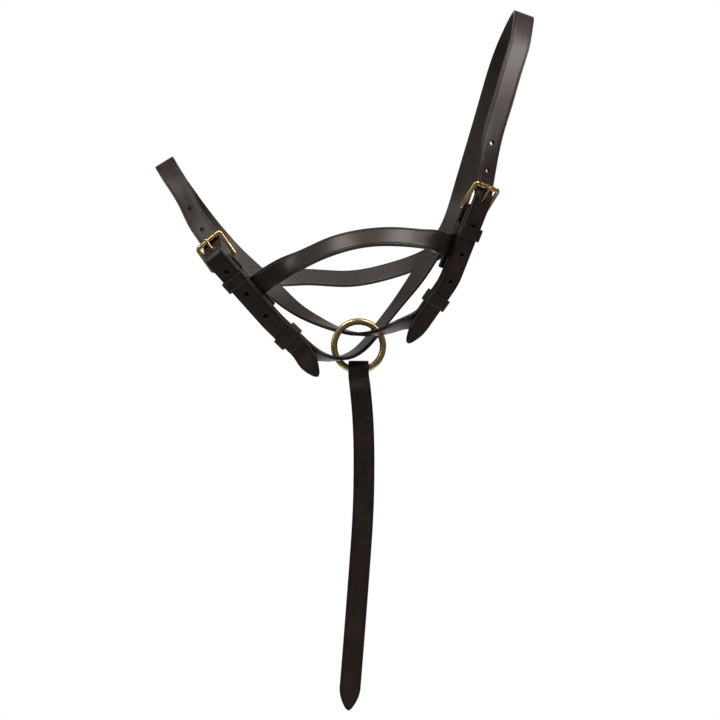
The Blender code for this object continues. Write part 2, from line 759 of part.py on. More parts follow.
def rounded_box(half_x, low, high, radius, steps=4):
    """Points of a rectangle with round corners, about x = 0."""
    corners = (
        (half_x - radius, high - radius, 0),
        (radius - half_x, high - radius, 90),
        (radius - half_x, low + radius, 180),
        (half_x - radius, low + radius, 270),
    )
    found = []
    for x, y, start in corners:
        for angle in np.radians(np.linspace(start, start + 90, steps)):
            found.append((x + radius * math.cos(angle), y + radius * math.sin(angle)))
    return found


def keeper(name, buckle, place, group, look):
    """A leather loop round the strap's outer layer and the billet, at a place on the chape."""
    middle, along, facing, across = buckle.base.frame(place)
    half_x = STRAP_WIDTH / 2 + KEEPER_SIDE_ROOM
    low = -STRAP_THICKNESS / 2 - LAYER_GAP
    high = LAYER + STRAP_THICKNESS / 2 + LAYER_GAP
    outline = bpy.data.curves.new(name, "CURVE")
    outline.dimensions = "2D"
    outline.fill_mode = "BOTH"
    outline.extrude = KEEPER_LENGTH / 2
    walls = ((0.0, EDGE_ROUNDING), (KEEPER_WALL, EDGE_ROUNDING + KEEPER_WALL * 0.7))
    for grown, radius in walls:
        points = rounded_box(half_x + grown, low - grown, high + grown, radius)
        line = outline.splines.new("POLY")
        line.points.add(len(points) - 1)
        for point, (x, y) in zip(line.points, points):
            point.co = (x, y, 0.0, 1.0)
        line.use_cyclic_u = True
    matrix = placed((across, facing, along), middle)
    return add_object(name, outline, group, look, matrix=matrix)


def tail_route(centre):
    """The tail strap: its sewn turnback, the fold over the ring's wire, and its hanging length."""
    half_fold = TAIL_FOLD_WIDTH / 2
    inside = RING_RADIUS - RING_WIRE / 2
    rise = RING_RADIUS - math.sqrt(RING_RADIUS**2 - half_fold**2)
    room = RING_WIRE / 2 + rise + SEAT_GAP
    top = -math.sqrt(inside**2 - half_fold**2) + SEAT_GAP + STRAP_THICKNESS / 2
    bow = room + STRAP_THICKNESS / 2
    arc = top - bow
    base = -RING_RADIUS - RING_WIRE / 2

    drift = np.array(TAIL_DRIFT)
    drift = Spline(drift[:, 0], drift[:, 1:])

    def station(y, z, face):
        depth = max(base - z, 0.0)
        return centre + np.array((drift.at(np.array((depth,)))[0, 0], y, z)), face

    front = -UP[[1, 2, 0]]
    back = -front
    behind = LAYER
    stations = [
        station(behind, base - TAIL_TURNBACK, back),
        station(behind, base - (TAIL_TURNBACK * 2 + TAIL_JOIN) / 3, back),
        station(behind, base - (TAIL_TURNBACK + TAIL_JOIN * 2) / 3, back),
        station(behind, base - TAIL_JOIN, back),
        station((behind + bow) / 2, base - TAIL_JOIN / 2, back),
        station(bow, arc - 0.004, back),
    ]
    for angle in np.radians((0, 30, 60, 90, 120, 150, 180)):
        out = np.array((0.0, math.cos(angle), math.sin(angle)))
        stations.append((centre + np.array((0.0, 0.0, arc)) + out * bow, out))
    stations += [
        station(-bow, arc - 0.004, front),
        station(-bow / 2, base - TAIL_JOIN / 2, front),
    ]
    for depth in np.linspace(TAIL_JOIN, TAIL_LENGTH, 40):
        stations.append(station(0.0, base - depth, front))
    return Route(stations)


def tail_width(route, centre):
    """Half the tail's width: drawn in at the fold, and pointed at the tip."""
    point = pointed(route)
    fold = route.nearest(centre - UP * (RING_RADIUS - STRAP_THICKNESS))

    def half_width(place):
        away = min(abs(place - fold) / (RING_WIRE + TAIL_JOIN), 1.0)
        drawn = (STRAP_WIDTH - TAIL_FOLD_WIDTH) / 2 * max(0.0, 1 - away**2)
        return point(place) - drawn

    return half_width


def ring(name, centre, group, look):
    bpy.ops.mesh.primitive_torus_add(
        major_segments=48,
        minor_segments=12,
        major_radius=RING_RADIUS,
        minor_radius=RING_WIRE / 2,
        rotation=(math.radians(90), 0.0, 0.0),
        location=Vector(centre),
    )
    made = bpy.context.object
    made.name = name
    made.data.name = name
    made.data.shade_smooth()
    made.data.materials.append(look)
    for old in list(made.users_collection):
        old.objects.unlink(made)
    group.objects.link(made)
    return made


def build():
    clear_scene()
    parts = collection("foal_halter")
    cutters = collection("cutters")
    leather = material("bridle_leather", (0.055, 0.034, 0.028), 0.42)
    keeper_leather = material("keeper_leather", (0.045, 0.029, 0.024), 0.45)
    brass = material("brass", (0.62, 0.45, 0.22), 0.28, 1.0)

    crown = crown_strap_route()
    nose = nose_strap_route()
    crown_cuts = strap_cutter("crown_strap_cuts", crown, NOSE_BUCKLE, CROWN_BUCKLE, cutters)
    nose_cuts = strap_cutter("nose_strap_cuts", nose, CROWN_BUCKLE, NOSE_BUCKLE, cutters)
    strap("crown_strap", crown, pointed(crown), parts, leather, crown_cuts)
    strap("nose_strap", nose, pointed(nose), parts, leather, nose_cuts)
    strap("near_cheek_strap", near_cheek_route(), plain_width, parts, leather)
    strap("far_cheek_strap", far_cheek_route(), plain_width, parts, leather)

    for place, buckle in (("nose", NOSE_BUCKLE), ("crown", CROWN_BUCKLE)):
        hinge = add_object(place + "_buckle", None, parts, matrix=buckle.matrix())
        buckle_frame(place + "_buckle_frame", parts, brass, hinge)
        buckle_roller(place + "_buckle_roller", parts, brass, hinge)
        buckle_tongue(place + "_buckle_tongue", parts, brass, hinge)
        keeper(place + "_fixed_keeper", buckle, buckle.keeper_at, parts, keeper_leather)
        keeper(place + "_runner_keeper", buckle, RUNNER_AT, parts, keeper_leather)

    centre = hung_ring_centre(nose)
    ring("jaw_ring", centre, parts, brass)
    tail = tail_route(centre)
    strap("tail_strap", tail, tail_width(tail, centre), parts, leather)
    print("ring centre", [round(float(c), 5) for c in centre])
    print("strap lengths", round(crown.length, 3), round(nose.length, 3), round(tail.length, 3))


build()
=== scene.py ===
"""The looks of a foal halter: creased bridle leather, sewn turnbacks and polished brass.

The straps follow the same routes as the plain solids. Each is built again with a rounded and
burnished edge, creased lines, punched holes and stitches, and stands for its plain solid.
Metres, +Z up. The foal faces -X and its near side is -Y.
"""

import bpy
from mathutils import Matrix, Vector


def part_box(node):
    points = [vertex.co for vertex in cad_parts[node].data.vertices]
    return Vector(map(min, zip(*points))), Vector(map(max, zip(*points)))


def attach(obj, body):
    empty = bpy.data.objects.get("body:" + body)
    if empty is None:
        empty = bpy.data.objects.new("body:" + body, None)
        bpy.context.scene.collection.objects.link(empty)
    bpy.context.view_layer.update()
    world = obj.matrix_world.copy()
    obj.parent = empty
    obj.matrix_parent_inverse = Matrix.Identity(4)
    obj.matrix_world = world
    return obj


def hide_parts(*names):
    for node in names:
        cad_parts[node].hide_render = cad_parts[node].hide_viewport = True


bl_info = {
    "name": "Foal Halter",
    "version": (1, 0, 0),
    "blender": (4, 5, 0),
    "location": "View3D > Sidebar > Foal Halter",
    "description": "Dresses a foal halter in creased leather, thread and brass",
    "category": "Object",
}

import math

import bmesh
import bpy
import numpy as np
from mathutils import Vector

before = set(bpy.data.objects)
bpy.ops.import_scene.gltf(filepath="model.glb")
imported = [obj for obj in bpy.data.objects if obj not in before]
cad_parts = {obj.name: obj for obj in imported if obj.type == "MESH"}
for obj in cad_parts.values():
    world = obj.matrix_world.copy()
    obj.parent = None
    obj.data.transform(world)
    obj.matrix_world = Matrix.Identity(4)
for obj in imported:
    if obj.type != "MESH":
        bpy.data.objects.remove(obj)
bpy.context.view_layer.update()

MM = 0.001
BACK, FAR, UP = np.eye(3)

# Straps
STRAP_WIDTH = 0.019
STRAP_THICKNESS = 0.0032
TIP_LENGTH = 0.021
TIP_BLUNT = 0.0015
TIP_ROUND = 0.0022
TIP_CLOSES = 0.999
CORNER_ROUND = 0.0012
HOLE_DIAMETER = 0.004
HOLE_SPACING = 0.0254
PUNCH_DEPTH = 0.35 * MM
PUNCH_FLARE = 0.30 * MM
PUNCH_ABOVE_FACE = 0.42 * MM
HOLES_ABOVE_TONGUE = 2
HOLES_BELOW_TONGUE = 3
LAYER_GAP = 0.0003
SEAT_GAP = 0.0003
CHEEK_END_SETBACK = 0.0015
CHEEK_END_LENGTH = 1.35 * STRAP_WIDTH
SPARE_RUN = 0.002

# Buckles
TURNBACK_LENGTH = 0.055
TURNBACK_JOIN = 0.014
FOLD_APPROACH = (0.004, 0.002)
BILLET_APPROACH = (0.015, 0.010, 0.006, 0.003)
CHAPE_BEND = 0.012
RUNNER_AT = 0.083
RUNNER_TRAVEL = 0.008
FRAME_LENGTH = 0.0245
FRAME_WIRE = 0.0030
FRAME_LEG_WIDTH = 0.0042
FRAME_SIDE_ROOM = 0.0020
FRAME_CORNER = 0.0022
ROLLER_SHORTER = 0.0035
ROLLER_LENGTH = STRAP_WIDTH - ROLLER_SHORTER
ROLLER_DIAMETER = 0.0046
ROLLER_BAR = 0.0022
ROLLER_ROOM = 0.0003
TONGUE_WIRE = 0.0024
TONGUE_SIDE_ROOM = 0.0006
TONGUE_OVERHANG = 0.0020
TONGUE_LIFT = 5.0
TONGUE_CURL = 215.0
TONGUE_IN_HOLE = (0.002, 0.021)

TONGUE_HOLE_SPARE = 0.5

# Share of the wall that a roller's ends are rounded by, and the line where its edges meet
ROLLER_SOFT_END = 0.45
ROLLER_LINE_DEPTH = 0.14 * MM
ROLLER_LINE_WIDTH = 0.06

# Shares of a tongue's radius: what its cut end has, and what it loses towards its tip
TONGUE_CUT = 0.80
TONGUE_TAPER = 0.06

# How far from its end a bar or a wire has which share of its radius
SHOULDER = ((0.75 * MM, 1.0), (0.45 * MM, 0.97), (0.2 * MM, 0.86), (0.04 * MM, 0.72))
TONGUE_END = ((1.2 * MM, 0.92), (0.7 * MM, 0.84), (0.35 * MM, 0.7), (0.1 * MM, 0.45), (0, 0.2))

# Keepers, ring and tail
KEEPER_LENGTH = 0.011
KEEPER_WALL = 0.0018
KEEPER_SIDE_ROOM = 0.0004
KEEPER_INNER_ROUND = 0.0005
KEEPER_SPOT_STEP = 0.0022
RING_RADIUS = 0.022
RING_WIRE = 0.006
TAIL_TURNBACK = 0.047
TAIL_FOLD_WIDTH = 0.0183
TAIL_LENGTH = 0.303
TAIL_JOIN = 0.018
TAIL_BOW_RUN = 0.004

# How far the tail has drifted forwards or back at depths below the ring
TAIL_DRIFT = (
    (0.000, 0.0000),
    (0.035, 0.0035),
    (0.085, 0.0049),
    (0.125, 0.0040),
    (0.165, 0.0015),
    (0.205, -0.0015),
    (0.250, -0.0050),
    (0.305, -0.0095),
)

# Seams: from the edge, from the cut end, and how far they run along a turnback
SEAM_INSET = 0.0032
SEAM_START = 0.0030
SEAM_FAR = 0.0400
TAIL_SEAM_INSET = 0.0033
TAIL_SEAM_START = 0.0035
TAIL_SEAM_LEANS = 0.0006

# The straps' free lengths, as points on the strap's middle and the way its face looks
CROWN_STRAP_UNDER_JAW = (
    ((-0.1810, -0.0325, -0.3060), (-0.25, -0.38, -0.89)),
    ((-0.1690, -0.0255, -0.3080), (-0.10, -0.18, -0.98)),
    ((-0.1575, -0.0125, -0.3055), (0.08, -0.05, -1.00)),
    ((-0.1480, 0.0000, -0.3000), (0.30, 0.08, -0.95)),
    ((-0.1385, 0.0125, -0.2905), (0.50, 0.22, -0.84)),
    ((-0.1250, 0.0265, -0.2735), (0.65, 0.38, -0.66)),
    ((-0.1090, 0.0380, -0.2530), (0.69, 0.50, -0.52)),
)
CROWN_SEAT = ((-0.0770, 0.0520, -0.2060), (0.53, 0.16, 0.84), (0.61, 0.71, -0.38))
CROWN_STRAP_OVER_POLL = (
    ((-0.0470, 0.0570, -0.1400), (0.16, 0.97, -0.09)),
    ((-0.0251, 0.0540, -0.0650), (0.06, 0.99, 0.03)),
    ((-0.0130, 0.0430, -0.0250), (0.18, 0.90, 0.37)),
    ((-0.0038, 0.0240, -0.0040), (0.34, 0.56, 0.73)),
    ((0.0005, 0.0000, 0.0016), (0.32, 0.00, 0.95)),
    ((-0.0020, -0.0150, -0.0118), (0.38, -0.56, 0.73)),
    ((-0.0052, -0.0240, -0.0270), (0.37, -0.79, 0.48)),
    ((-0.0140, -0.0350, -0.0552), (0.38, -0.89, 0.24)),
    ((-0.0232, -0.0430, -0.0857), (0.39, -0.91, 0.14)),
    ((-0.0322, -0.0500, -0.1150), (0.43, -0.90, 0.08)),
)
NOSE_STRAP_UNDER_JAW = (
    ((-0.1090, -0.0375, -0.2775), (0.35, -0.50, -0.78)),
    ((-0.1260, -0.0235, -0.2835), (0.18, -0.22, -0.96)),
    ((-0.1395, -0.0105, -0.2855), (0.05, -0.06, -0.99)),
    ((-0.1480, 0.0000, -0.2855), (-0.05, 0.00, -1.00)),
    ((-0.1565, 0.0105, -0.2840), (-0.15, 0.06, -0.99)),
    ((-0.1700, 0.0230, -0.2800), (-0.28, 0.18, -0.93)),
    ((-0.1885, 0.0345, -0.2715), (-0.43, 0.42, -0.79)),
    ((-0.2050, 0.0415, -0.2620), (-0.47, 0.57, -0.67)),
)
NOSE_SEAT = ((-0.2445, 0.0535, -0.2275), (-0.73, 0.10, 0.67), (-0.45, 0.78, -0.44))
NOSE_STRAP_OVER_NOSE = (
    ((-0.2775, 0.0550, -0.1957), (-0.41, 0.89, -0.19)),
    ((-0.2935, 0.0500, -0.1766), (-0.41, 0.91, 0.01)),
    ((-0.3087, 0.0370, -0.1556), (-0.46, 0.79, 0.39)),
    ((-0.3197, 0.0190, -0.1383), (-0.50, 0.49, 0.70)),
    ((-0.3225, 0.0000, -0.1315), (-0.54, 0.00, 0.84)),
    ((-0.3150, -0.0135, -0.1427), (-0.57, -0.66, 0.49)),
    ((-0.3002, -0.0270, -0.1660), (-0.60, -0.78, 0.18)),
    ((-0.2887, -0.0375, -0.1877), (-0.57, -0.80, 0.14)),
)
NEAR_CHEEK_FREE = (
    ((-0.2000, -0.0680, -0.2254), (-0.14, -0.90, 0.42)),
    ((-0.1717, -0.0820, -0.2137), (-0.05, -0.84, 0.54)),
    ((-0.1442, -0.0860, -0.2071), (0.00, -0.81, 0.59)),
    ((-0.1152, -0.0840, -0.2055), (0.08, -0.84, 0.54)),
    ((-0.0882, -0.0740, -0.2072), (0.22, -0.92, 0.32)),
)
FAR_CHEEK_FREE = (
    ((-0.1970, 0.0722, -0.2297), (-0.12, 0.79, -0.60)),
    ((-0.1580, 0.0765, -0.2310), (0.00, 0.80, -0.60)),
    ((-0.1198, 0.0712, -0.2243), (0.22, 0.79, -0.57)),
)
NEAR_CHEEK_LEAVES_CROWN = -1.0

# How finely the straps are divided: lengths in metres, and the sharpest turn in degrees
SAMPLE_STEP = 0.00025
STATION_STEP = 0.004
LONGEST_ROW = 0.0024
SHARPEST_ROW = 3.5
END_CLEARANCE = 1.3
TIP_ROW = 0.0007
TIP_REACH = 0.001
TIP_OUTLINE_REACH = 0.004
TIP_OUTLINE_STEPS = 900
CROSSING_STEP = 0.0001

# Shares of the rounded edge at which its columns stand, its squareness, and a crease's columns
EDGE_SHARES = (0.0, 0.02, 0.08, 0.20, 0.40, 0.70, 1.0)
EDGE_SQUARENESS = 2.6
CREASE_OFFSETS = (-0.45 * MM, -0.22 * MM, 0.0, 0.22 * MM, 0.45 * MM)

# How steeply a tip's sides lean at most, and how flat a face is before it takes a crease
STEEPEST_SIDE = 1.5
FLAT_FACE = 0.95

# How finely holes and metal are divided, and the angles that stay sharp, in degrees
HOLE_SIDES = 28
TONGUE_HOLE_SIDES = 24
FRAME_SIDES = 28
ROLLER_SIDES = 56
RING_ROWS = 144
RING_SIDES = 36
SHARP_EDGE = 40.0
SHARP_STITCH = 70.0

# A place along the strap's map that is far from every punched hole
NO_HOLES = 9.0


def unit(v):
    v = np.asarray(v, float)
    return v / np.linalg.norm(v)


def square_to(v, axis):
    """The unit vector nearest to v that is square to the axis."""
    v = np.asarray(v, float)
    axis = unit(axis)
    return unit(v - axis * v.dot(axis))


def turned(first, second, angle):
    """The way at an angle from one way towards another that is square to it."""
    return first * math.cos(angle) + second * math.sin(angle)


def circle(first, second, sides):
    """Spokes of a circle in the plane of two ways. Rows of ways give a circle for each row."""
    angles = turn_in(sides)[:, None]
    return first[..., None, :] * np.cos(angles) + second[..., None, :] * np.sin(angles)


def units(rows):
    """Rows of vectors, each made one long."""
    return rows / np.linalg.norm(rows, axis=1)[:, None]


def units_square_to(rows, axes):
    """Rows of vectors, each turned square to its own unit axis and made one long."""
    return units(rows - (rows * axes).sum(axis=1)[:, None] * axes)


def steps_of(rows):
    """How far each row is from the one before it."""
    return np.linalg.norm(np.diff(rows, axis=0), axis=1)


def running_total(steps):
    return np.concatenate([[0], np.cumsum(steps)])


def turn_in(count):
    """A full turn in equal steps, as angles."""
    return np.linspace(0, 2 * math.pi, count, endpoint=False)


class Spline:
    """A natural cubic spline through rows of values."""

    def __init__(self, knots, values):
        n = len(knots)
        gap = np.diff(knots)
        rise = np.diff(values, axis=0) / gap[:, None]
        matrix = np.eye(n)
        right = np.zeros_like(values)
        for i in range(1, n - 1):
            matrix[i, i - 1] = gap[i - 1]
            matrix[i, i] = 2 * (gap[i - 1] + gap[i])
            matrix[i, i + 1] = gap[i]
            right[i] = 6 * (rise[i] - rise[i - 1])
        self.knots = knots
        self.values = values
        self.bend = np.linalg.solve(matrix, right)

    def at(self, places):
        i = np.clip(np.searchsorted(self.knots, places) - 1, 0, len(self.knots) - 2)
        gap = (self.knots[i + 1] - self.knots[i])[:, None]
        b = (places - self.knots[i])[:, None] / gap
        a = 1 - b
        straight_part = a * self.values[i] + b * self.values[i + 1]
        curve = (a**3 - a) * self.bend[i] + (b**3 - b) * self.bend[i + 1]
        return straight_part + curve * gap**2 / 6


class Route:
    """The middle of a strap: a smooth curve through stations, with the way its outer face looks."""

    def __init__(self, stations):
        points = np.array([point for point, _ in stations], float)
        faces = np.array([unit(face) for _, face in stations], float)
        knots = running_total(steps_of(points))
        samples = np.linspace(0, knots[-1], int(knots[-1] / SAMPLE_STEP))
        self.middle = Spline(knots, points).at(samples)
        self.places = running_total(steps_of(self.middle))
        self.length = self.places[-1]
        self.along = units(np.gradient(self.middle, axis=0))
        self.facing = units_square_to(Spline(knots, faces).at(samples), self.along)

    def read(self, rows, places):
        return np.stack([np.interp(places, self.places, rows[:, k]) for k in range(3)], axis=-1)

    def frames(self, places):
        """At many places: points, ways along, the outer face's normals and ways across."""
        along = units(self.read(self.along, places))
        facing = units_square_to(self.read(self.facing, places), along)
        return self.read(self.middle, places), along, facing, np.cross(facing, along)

    def frame(self, place):
        return tuple(rows[0] for rows in self.frames(np.array((place,))))

    def nearest(self, point):
        return self.places[np.argmin(np.linalg.norm(self.middle - np.asarray(point), axis=1))]

    def rows(self):
        """Places of the mesh's rows: close where the strap turns, wide where it is straight."""
        turned = np.maximum(steps_of(self.along), steps_of(self.facing))
        turned /= math.radians(SHARPEST_ROW)
        weight = running_total(np.maximum(turned, np.diff(self.places) / LONGEST_ROW))
        count = int(weight[-1]) + 2
        return np.interp(np.linspace(0, weight[-1], count), weight, self.places)


def straight(middle, runs, faces, length):
    """Close stations of a straight, untwisted length with its middle at a point."""
    runs = unit(runs)
    faces = square_to(faces, runs)
    shifts = np.linspace(-length / 2, length / 2, round(length / STATION_STEP) + 2)
    return [(np.asarray(middle) + runs * shift, faces) for shift in shifts]


def straight_from(start, runs, faces, length):
    return straight(np.asarray(start) + unit(runs) * length / 2, runs, faces, length)


LAYER = STRAP_THICKNESS + LAYER_GAP
BAR_TO_CHAPE = FRAME_WIRE / 2 + SEAT_GAP + STRAP_THICKNESS / 2
BAR_TO_BILLET = BAR_TO_CHAPE + LAYER
ROLLER_TO_BILLET = ROLLER_DIAMETER / 2 + SEAT_GAP + STRAP_THICKNESS / 2
RUNNER_REACH = RUNNER_AT + KEEPER_LENGTH / 2 + RUNNER_TRAVEL + SPARE_RUN
SEAT_LENGTH = 1.7 * STRAP_WIDTH + 0.008


class Buckle:
    """Where a buckle sits on its chape, and how the other strap's billet passes through it."""

    def __init__(self, at, chape, runner, tilt, to_crest, keeper_at, cheek_at):
        runs = unit(chape[0])
        faces = square_to(chape[1], runs)
        self.keeper_at = keeper_at
        self.cheek_at = cheek_at
        straight_length = max(TURNBACK_LENGTH, cheek_at + STRAP_WIDTH) + SPARE_RUN
        stations = straight_from(at, runs, faces, straight_length)
        bend = unit(runs + unit(runner[0]))
        runner_start = stations[-1][0] + bend * CHAPE_BEND
        room = RUNNER_REACH - straight_length - CHAPE_BEND
        self.chape = stations + straight_from(runner_start, runner[0], runner[1], room)
        self.base = Route(self.chape)
        self.hinge = np.asarray(at) - faces * BAR_TO_CHAPE
        self.across = np.cross(faces, runs)
        self.tilt = math.radians(tilt)
        self.to_roller = turned(-runs, faces, self.tilt)
        self.outwards = turned(faces, runs, self.tilt)
        self.roller = self.point(FRAME_LENGTH, 0)
        crest = FRAME_LENGTH - to_crest
        self.crest = self.hinge - runs * crest
        crest_along = crest * math.cos(self.tilt)
        crest_out = -crest * math.sin(self.tilt)
        span = math.hypot(FRAME_LENGTH - crest_along, crest_out)
        rise = math.asin(-crest_out / span)
        self.slope = math.asin((BAR_TO_BILLET + ROLLER_TO_BILLET) / span) - rise
        self.dips_at = crest_along + BAR_TO_BILLET * math.sin(self.slope)
        self.dips_from = crest_out + BAR_TO_BILLET * math.cos(self.slope)

    def point(self, along, out):
        return self.hinge + self.to_roller * along + self.outwards * out

    def place(self, points):
        """Points in the buckle's own space (across, to the roller, outwards) put in their place."""
        axes = np.array((self.across, self.to_roller, self.outwards))
        return self.hinge + np.asarray(points) @ axes

    def facing(self, angle):
        return turned(self.outwards, self.to_roller, angle)

    def leaves(self, point):
        """The angle at which the billet comes off the roller to run straight to a point."""
        shift = np.asarray(point) - self.roller
        along = shift.dot(self.to_roller)
        out = shift.dot(self.outwards)
        return -math.atan2(out, along) - math.asin(ROLLER_TO_BILLET / math.hypot(along, out))

    def billet_above(self, last):
        """Stations of the billet from under the roller to the crest, coming from a point."""
        first = self.facing(self.leaves(last))
        start = self.roller - first * ROLLER_TO_BILLET
        back = unit(np.asarray(last) - start)
        found = [(start + back * length, first) for length in BILLET_APPROACH]
        for angle in np.linspace(self.leaves(last), self.slope, 4):
            facing = self.facing(angle)
            found.append((self.roller - facing * ROLLER_TO_BILLET, facing))
        facing = self.facing(self.slope)
        dip = self.crest + facing * BAR_TO_BILLET - found[-1][0]
        start = found[-1][0]
        found += [(start + dip * share, facing) for share in (0.2, 0.5, 0.8)]
        for angle in np.linspace(self.slope, self.tilt, 5):
            facing = self.facing(angle)
            found.append((self.crest + facing * BAR_TO_BILLET, facing))
        return found

    def billet_below(self, tip):
        """Stations of the billet from below the hinge bar, over the chape, to its tip."""
        found = []
        for place in np.arange(0.001, self.base.length, STATION_STEP):
            middle, _, facing, _ = self.base.frame(place)
            found.append((middle + facing * LAYER, facing))
        start, facing = found[-1]
        found.append((start + (np.asarray(tip) - start) * 0.5, facing))
        found.append((np.asarray(tip, float), facing))
        return found

    def turnback(self):
        """Stations of the chape's inner layer and of its fold round the hinge bar."""
        runs = -unit(self.chape[1][0] - self.chape[0][0])
        faces = self.chape[0][1]
        found = []
        for place in np.arange(TURNBACK_LENGTH, TURNBACK_JOIN, -STATION_STEP):
            middle, _, facing, _ = self.base.frame(place)
            found.append((middle - facing * 2 * LAYER, -facing))
        for place in FOLD_APPROACH:
            point = np.asarray(self.chape[0][0]) - runs * place - faces * 2 * BAR_TO_CHAPE
            found.append((point, -faces))
        for angle in np.radians(range(-90, 61, 30)):
            out = turned(runs, faces, angle)
            found.append((self.hinge + out * BAR_TO_CHAPE, out))
        return found


NOSE_BUCKLE = Buckle(
    at=(-0.2636, -0.0560, -0.2273),
    chape=((0.643, 0.219, -0.734), (-0.148, -0.905, -0.399)),
    runner=((0.705, 0.170, -0.689), (-0.18, -0.90, -0.40)),
    tilt=-16.0,
    to_crest=0.0170,
    keeper_at=0.017,
    cheek_at=0.0325,
)
NOSE_TIP = (-0.1830, -0.0430, -0.3231)
CROWN_BUCKLE = Buckle(
    at=(-0.0483, -0.0570, -0.1818),
    chape=((-0.354, 0.165, -0.920), (0.515, -0.780, -0.340)),
    runner=((-0.566, 0.148, -0.811), (0.51, -0.73, -0.47)),
    tilt=16.0,
    to_crest=0.0122,
    keeper_at=0.018,
    cheek_at=0.0345,
)
CROWN_TIP = (-0.1055, -0.0430, -0.2940)

# Both buckles, by the strap that each one closes
BUCKLES = (("nose", NOSE_BUCKLE), ("crown", CROWN_BUCKLE))


def long_strap_route(start, under_jaw, seat, over_head, end, tip):
    """A strap from one buckle's chape to its tip beyond the other buckle."""
    stations = start.turnback() + start.chape
    stations += list(under_jaw) + straight(*seat, SEAT_LENGTH) + list(over_head)
    stations += end.billet_above(stations[-1][0]) + end.billet_below(tip)
    return Route(stations)


def cheek_end(middle, leaves, facing):
    """The straight, sewn end of a cheek strap, from its cut beyond the middle of its seat."""
    start = middle - leaves * (STRAP_WIDTH / 2 - CHEEK_END_SETBACK)
    return straight_from(start, leaves, facing, CHEEK_END_LENGTH)


def near_cheek_route():
    """From the nose buckle's chape to the crown buckle's, each end sewn between two layers."""
    ends = []
    for buckle, side, angle in (
        (NOSE_BUCKLE, 1, 0.0),
        (CROWN_BUCKLE, -1, NEAR_CHEEK_LEAVES_CROWN),
    ):
        middle, along, facing, across = buckle.base.frame(buckle.cheek_at)
        leaves = turned(across * side, along, math.radians(angle))
        ends.append(cheek_end(middle - facing * LAYER, leaves, facing))
    return Route(ends[0] + list(NEAR_CHEEK_FREE) + ends[1][::-1])


def far_cheek_route():
    """From the nose strap to the crown strap on the far side, each end sewn on the outer face."""
    ends = []
    for seat, towards in ((NOSE_SEAT, FAR_CHEEK_FREE[0][0]), (CROWN_SEAT, FAR_CHEEK_FREE[-1][0])):
        at, runs, faces = seat
        facing = square_to(faces, runs)
        leaves = square_to(np.asarray(towards) - np.asarray(at), facing)
        ends.append(cheek_end(np.asarray(at) + facing * LAYER, leaves, facing))
    return Route(ends[0] + list(FAR_CHEEK_FREE) + ends[1][::-1])


def ring_centre():
    low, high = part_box("jaw_ring")
    return np.array((low + high) / 2)


def tail_route(centre):
    """The tail strap: its sewn turnback, the fold over the ring's wire, and its hanging length."""
    half_fold = TAIL_FOLD_WIDTH / 2
    inside = RING_RADIUS - RING_WIRE / 2
    rise = RING_RADIUS - math.sqrt(RING_RADIUS**2 - half_fold**2)
    room = RING_WIRE / 2 + rise + SEAT_GAP
    top = -math.sqrt(inside**2 - half_fold**2) + SEAT_GAP + STRAP_THICKNESS / 2
    bow = room + STRAP_THICKNESS / 2
    bow_at = top - bow
    base = -RING_RADIUS - RING_WIRE / 2

    drift = np.array(TAIL_DRIFT)
    drift = Spline(drift[:, 0], drift[:, 1:])

    def station(y, z, face):
        depth = max(base - z, 0.0)
        return centre + np.array((drift.at(np.array((depth,)))[0, 0], y, z)), face

    turnback = np.linspace(TAIL_TURNBACK, TAIL_JOIN, 4)
    stations = [station(LAYER, base - depth, FAR) for depth in turnback]
    stations.append(station((LAYER + bow) / 2, base - TAIL_JOIN / 2, FAR))
    stations.append(station(bow, bow_at - TAIL_BOW_RUN, FAR))
    for angle in np.radians(range(0, 181, 30)):
        out = turned(FAR, UP, angle)
        stations.append((centre + UP * bow_at + out * bow, out))
    stations.append(station(-bow, bow_at - TAIL_BOW_RUN, -FAR))
    stations.append(station(-bow / 2, base - TAIL_JOIN / 2, -FAR))
    hanging = np.linspace(TAIL_JOIN, TAIL_LENGTH, 40)
    return Route(stations + [station(0.0, base - depth, -FAR) for depth in hanging])


def cut_square(left):
    """How much of half the width a square cut's round corners take, this far from the cut."""
    left = np.clip(1 - left / CORNER_ROUND, 0, 1)
    return CORNER_ROUND * (1 - np.sqrt(1 - left**2))


def pointed(route):
    """Half the width of a long strap: square at its start, and a rounded point at its end."""

    def half_width(places):
        left = np.clip((route.length - places) / TIP_LENGTH, 0, 1)
        wide = TIP_BLUNT + (STRAP_WIDTH / 2 - TIP_BLUNT) * (1 - (1 - left) ** 2)
        blunt = np.clip(1 - (route.length - places) / TIP_ROUND, 0, 1)
        return wide * np.sqrt(1 - blunt**2 * TIP_CLOSES) - cut_square(places)

    return half_width


def square_ended(route):
    """Half the width of a strap that is cut square at both ends."""
    return lambda places: STRAP_WIDTH / 2 - cut_square(places) - cut_square(route.length - places)


def tail_fold(route, centre):
    """The place along the tail where it lies over the ring's wire."""
    return route.nearest(centre - UP * (RING_RADIUS - STRAP_THICKNESS))


def tail_width(route, centre):
    """Half the tail's width: drawn in at the fold, and pointed at the tip."""
    point = pointed(route)
    fold = tail_fold(route, centre)

    def half_width(places):
        away = np.clip(np.abs(places - fold) / (RING_WIRE + TAIL_JOIN), 0, 1)
        return point(places) - (STRAP_WIDTH - TAIL_FOLD_WIDTH) / 2 * (1 - away**2)

    return half_width


def rounded_edge(distance, radius):
    """From 0 on the very edge to 1 where the face is flat."""
    share = np.clip(distance / radius, 0, 1)
    return (1 - (1 - share) ** EDGE_SQUARENESS) ** (1 / EDGE_SQUARENESS)


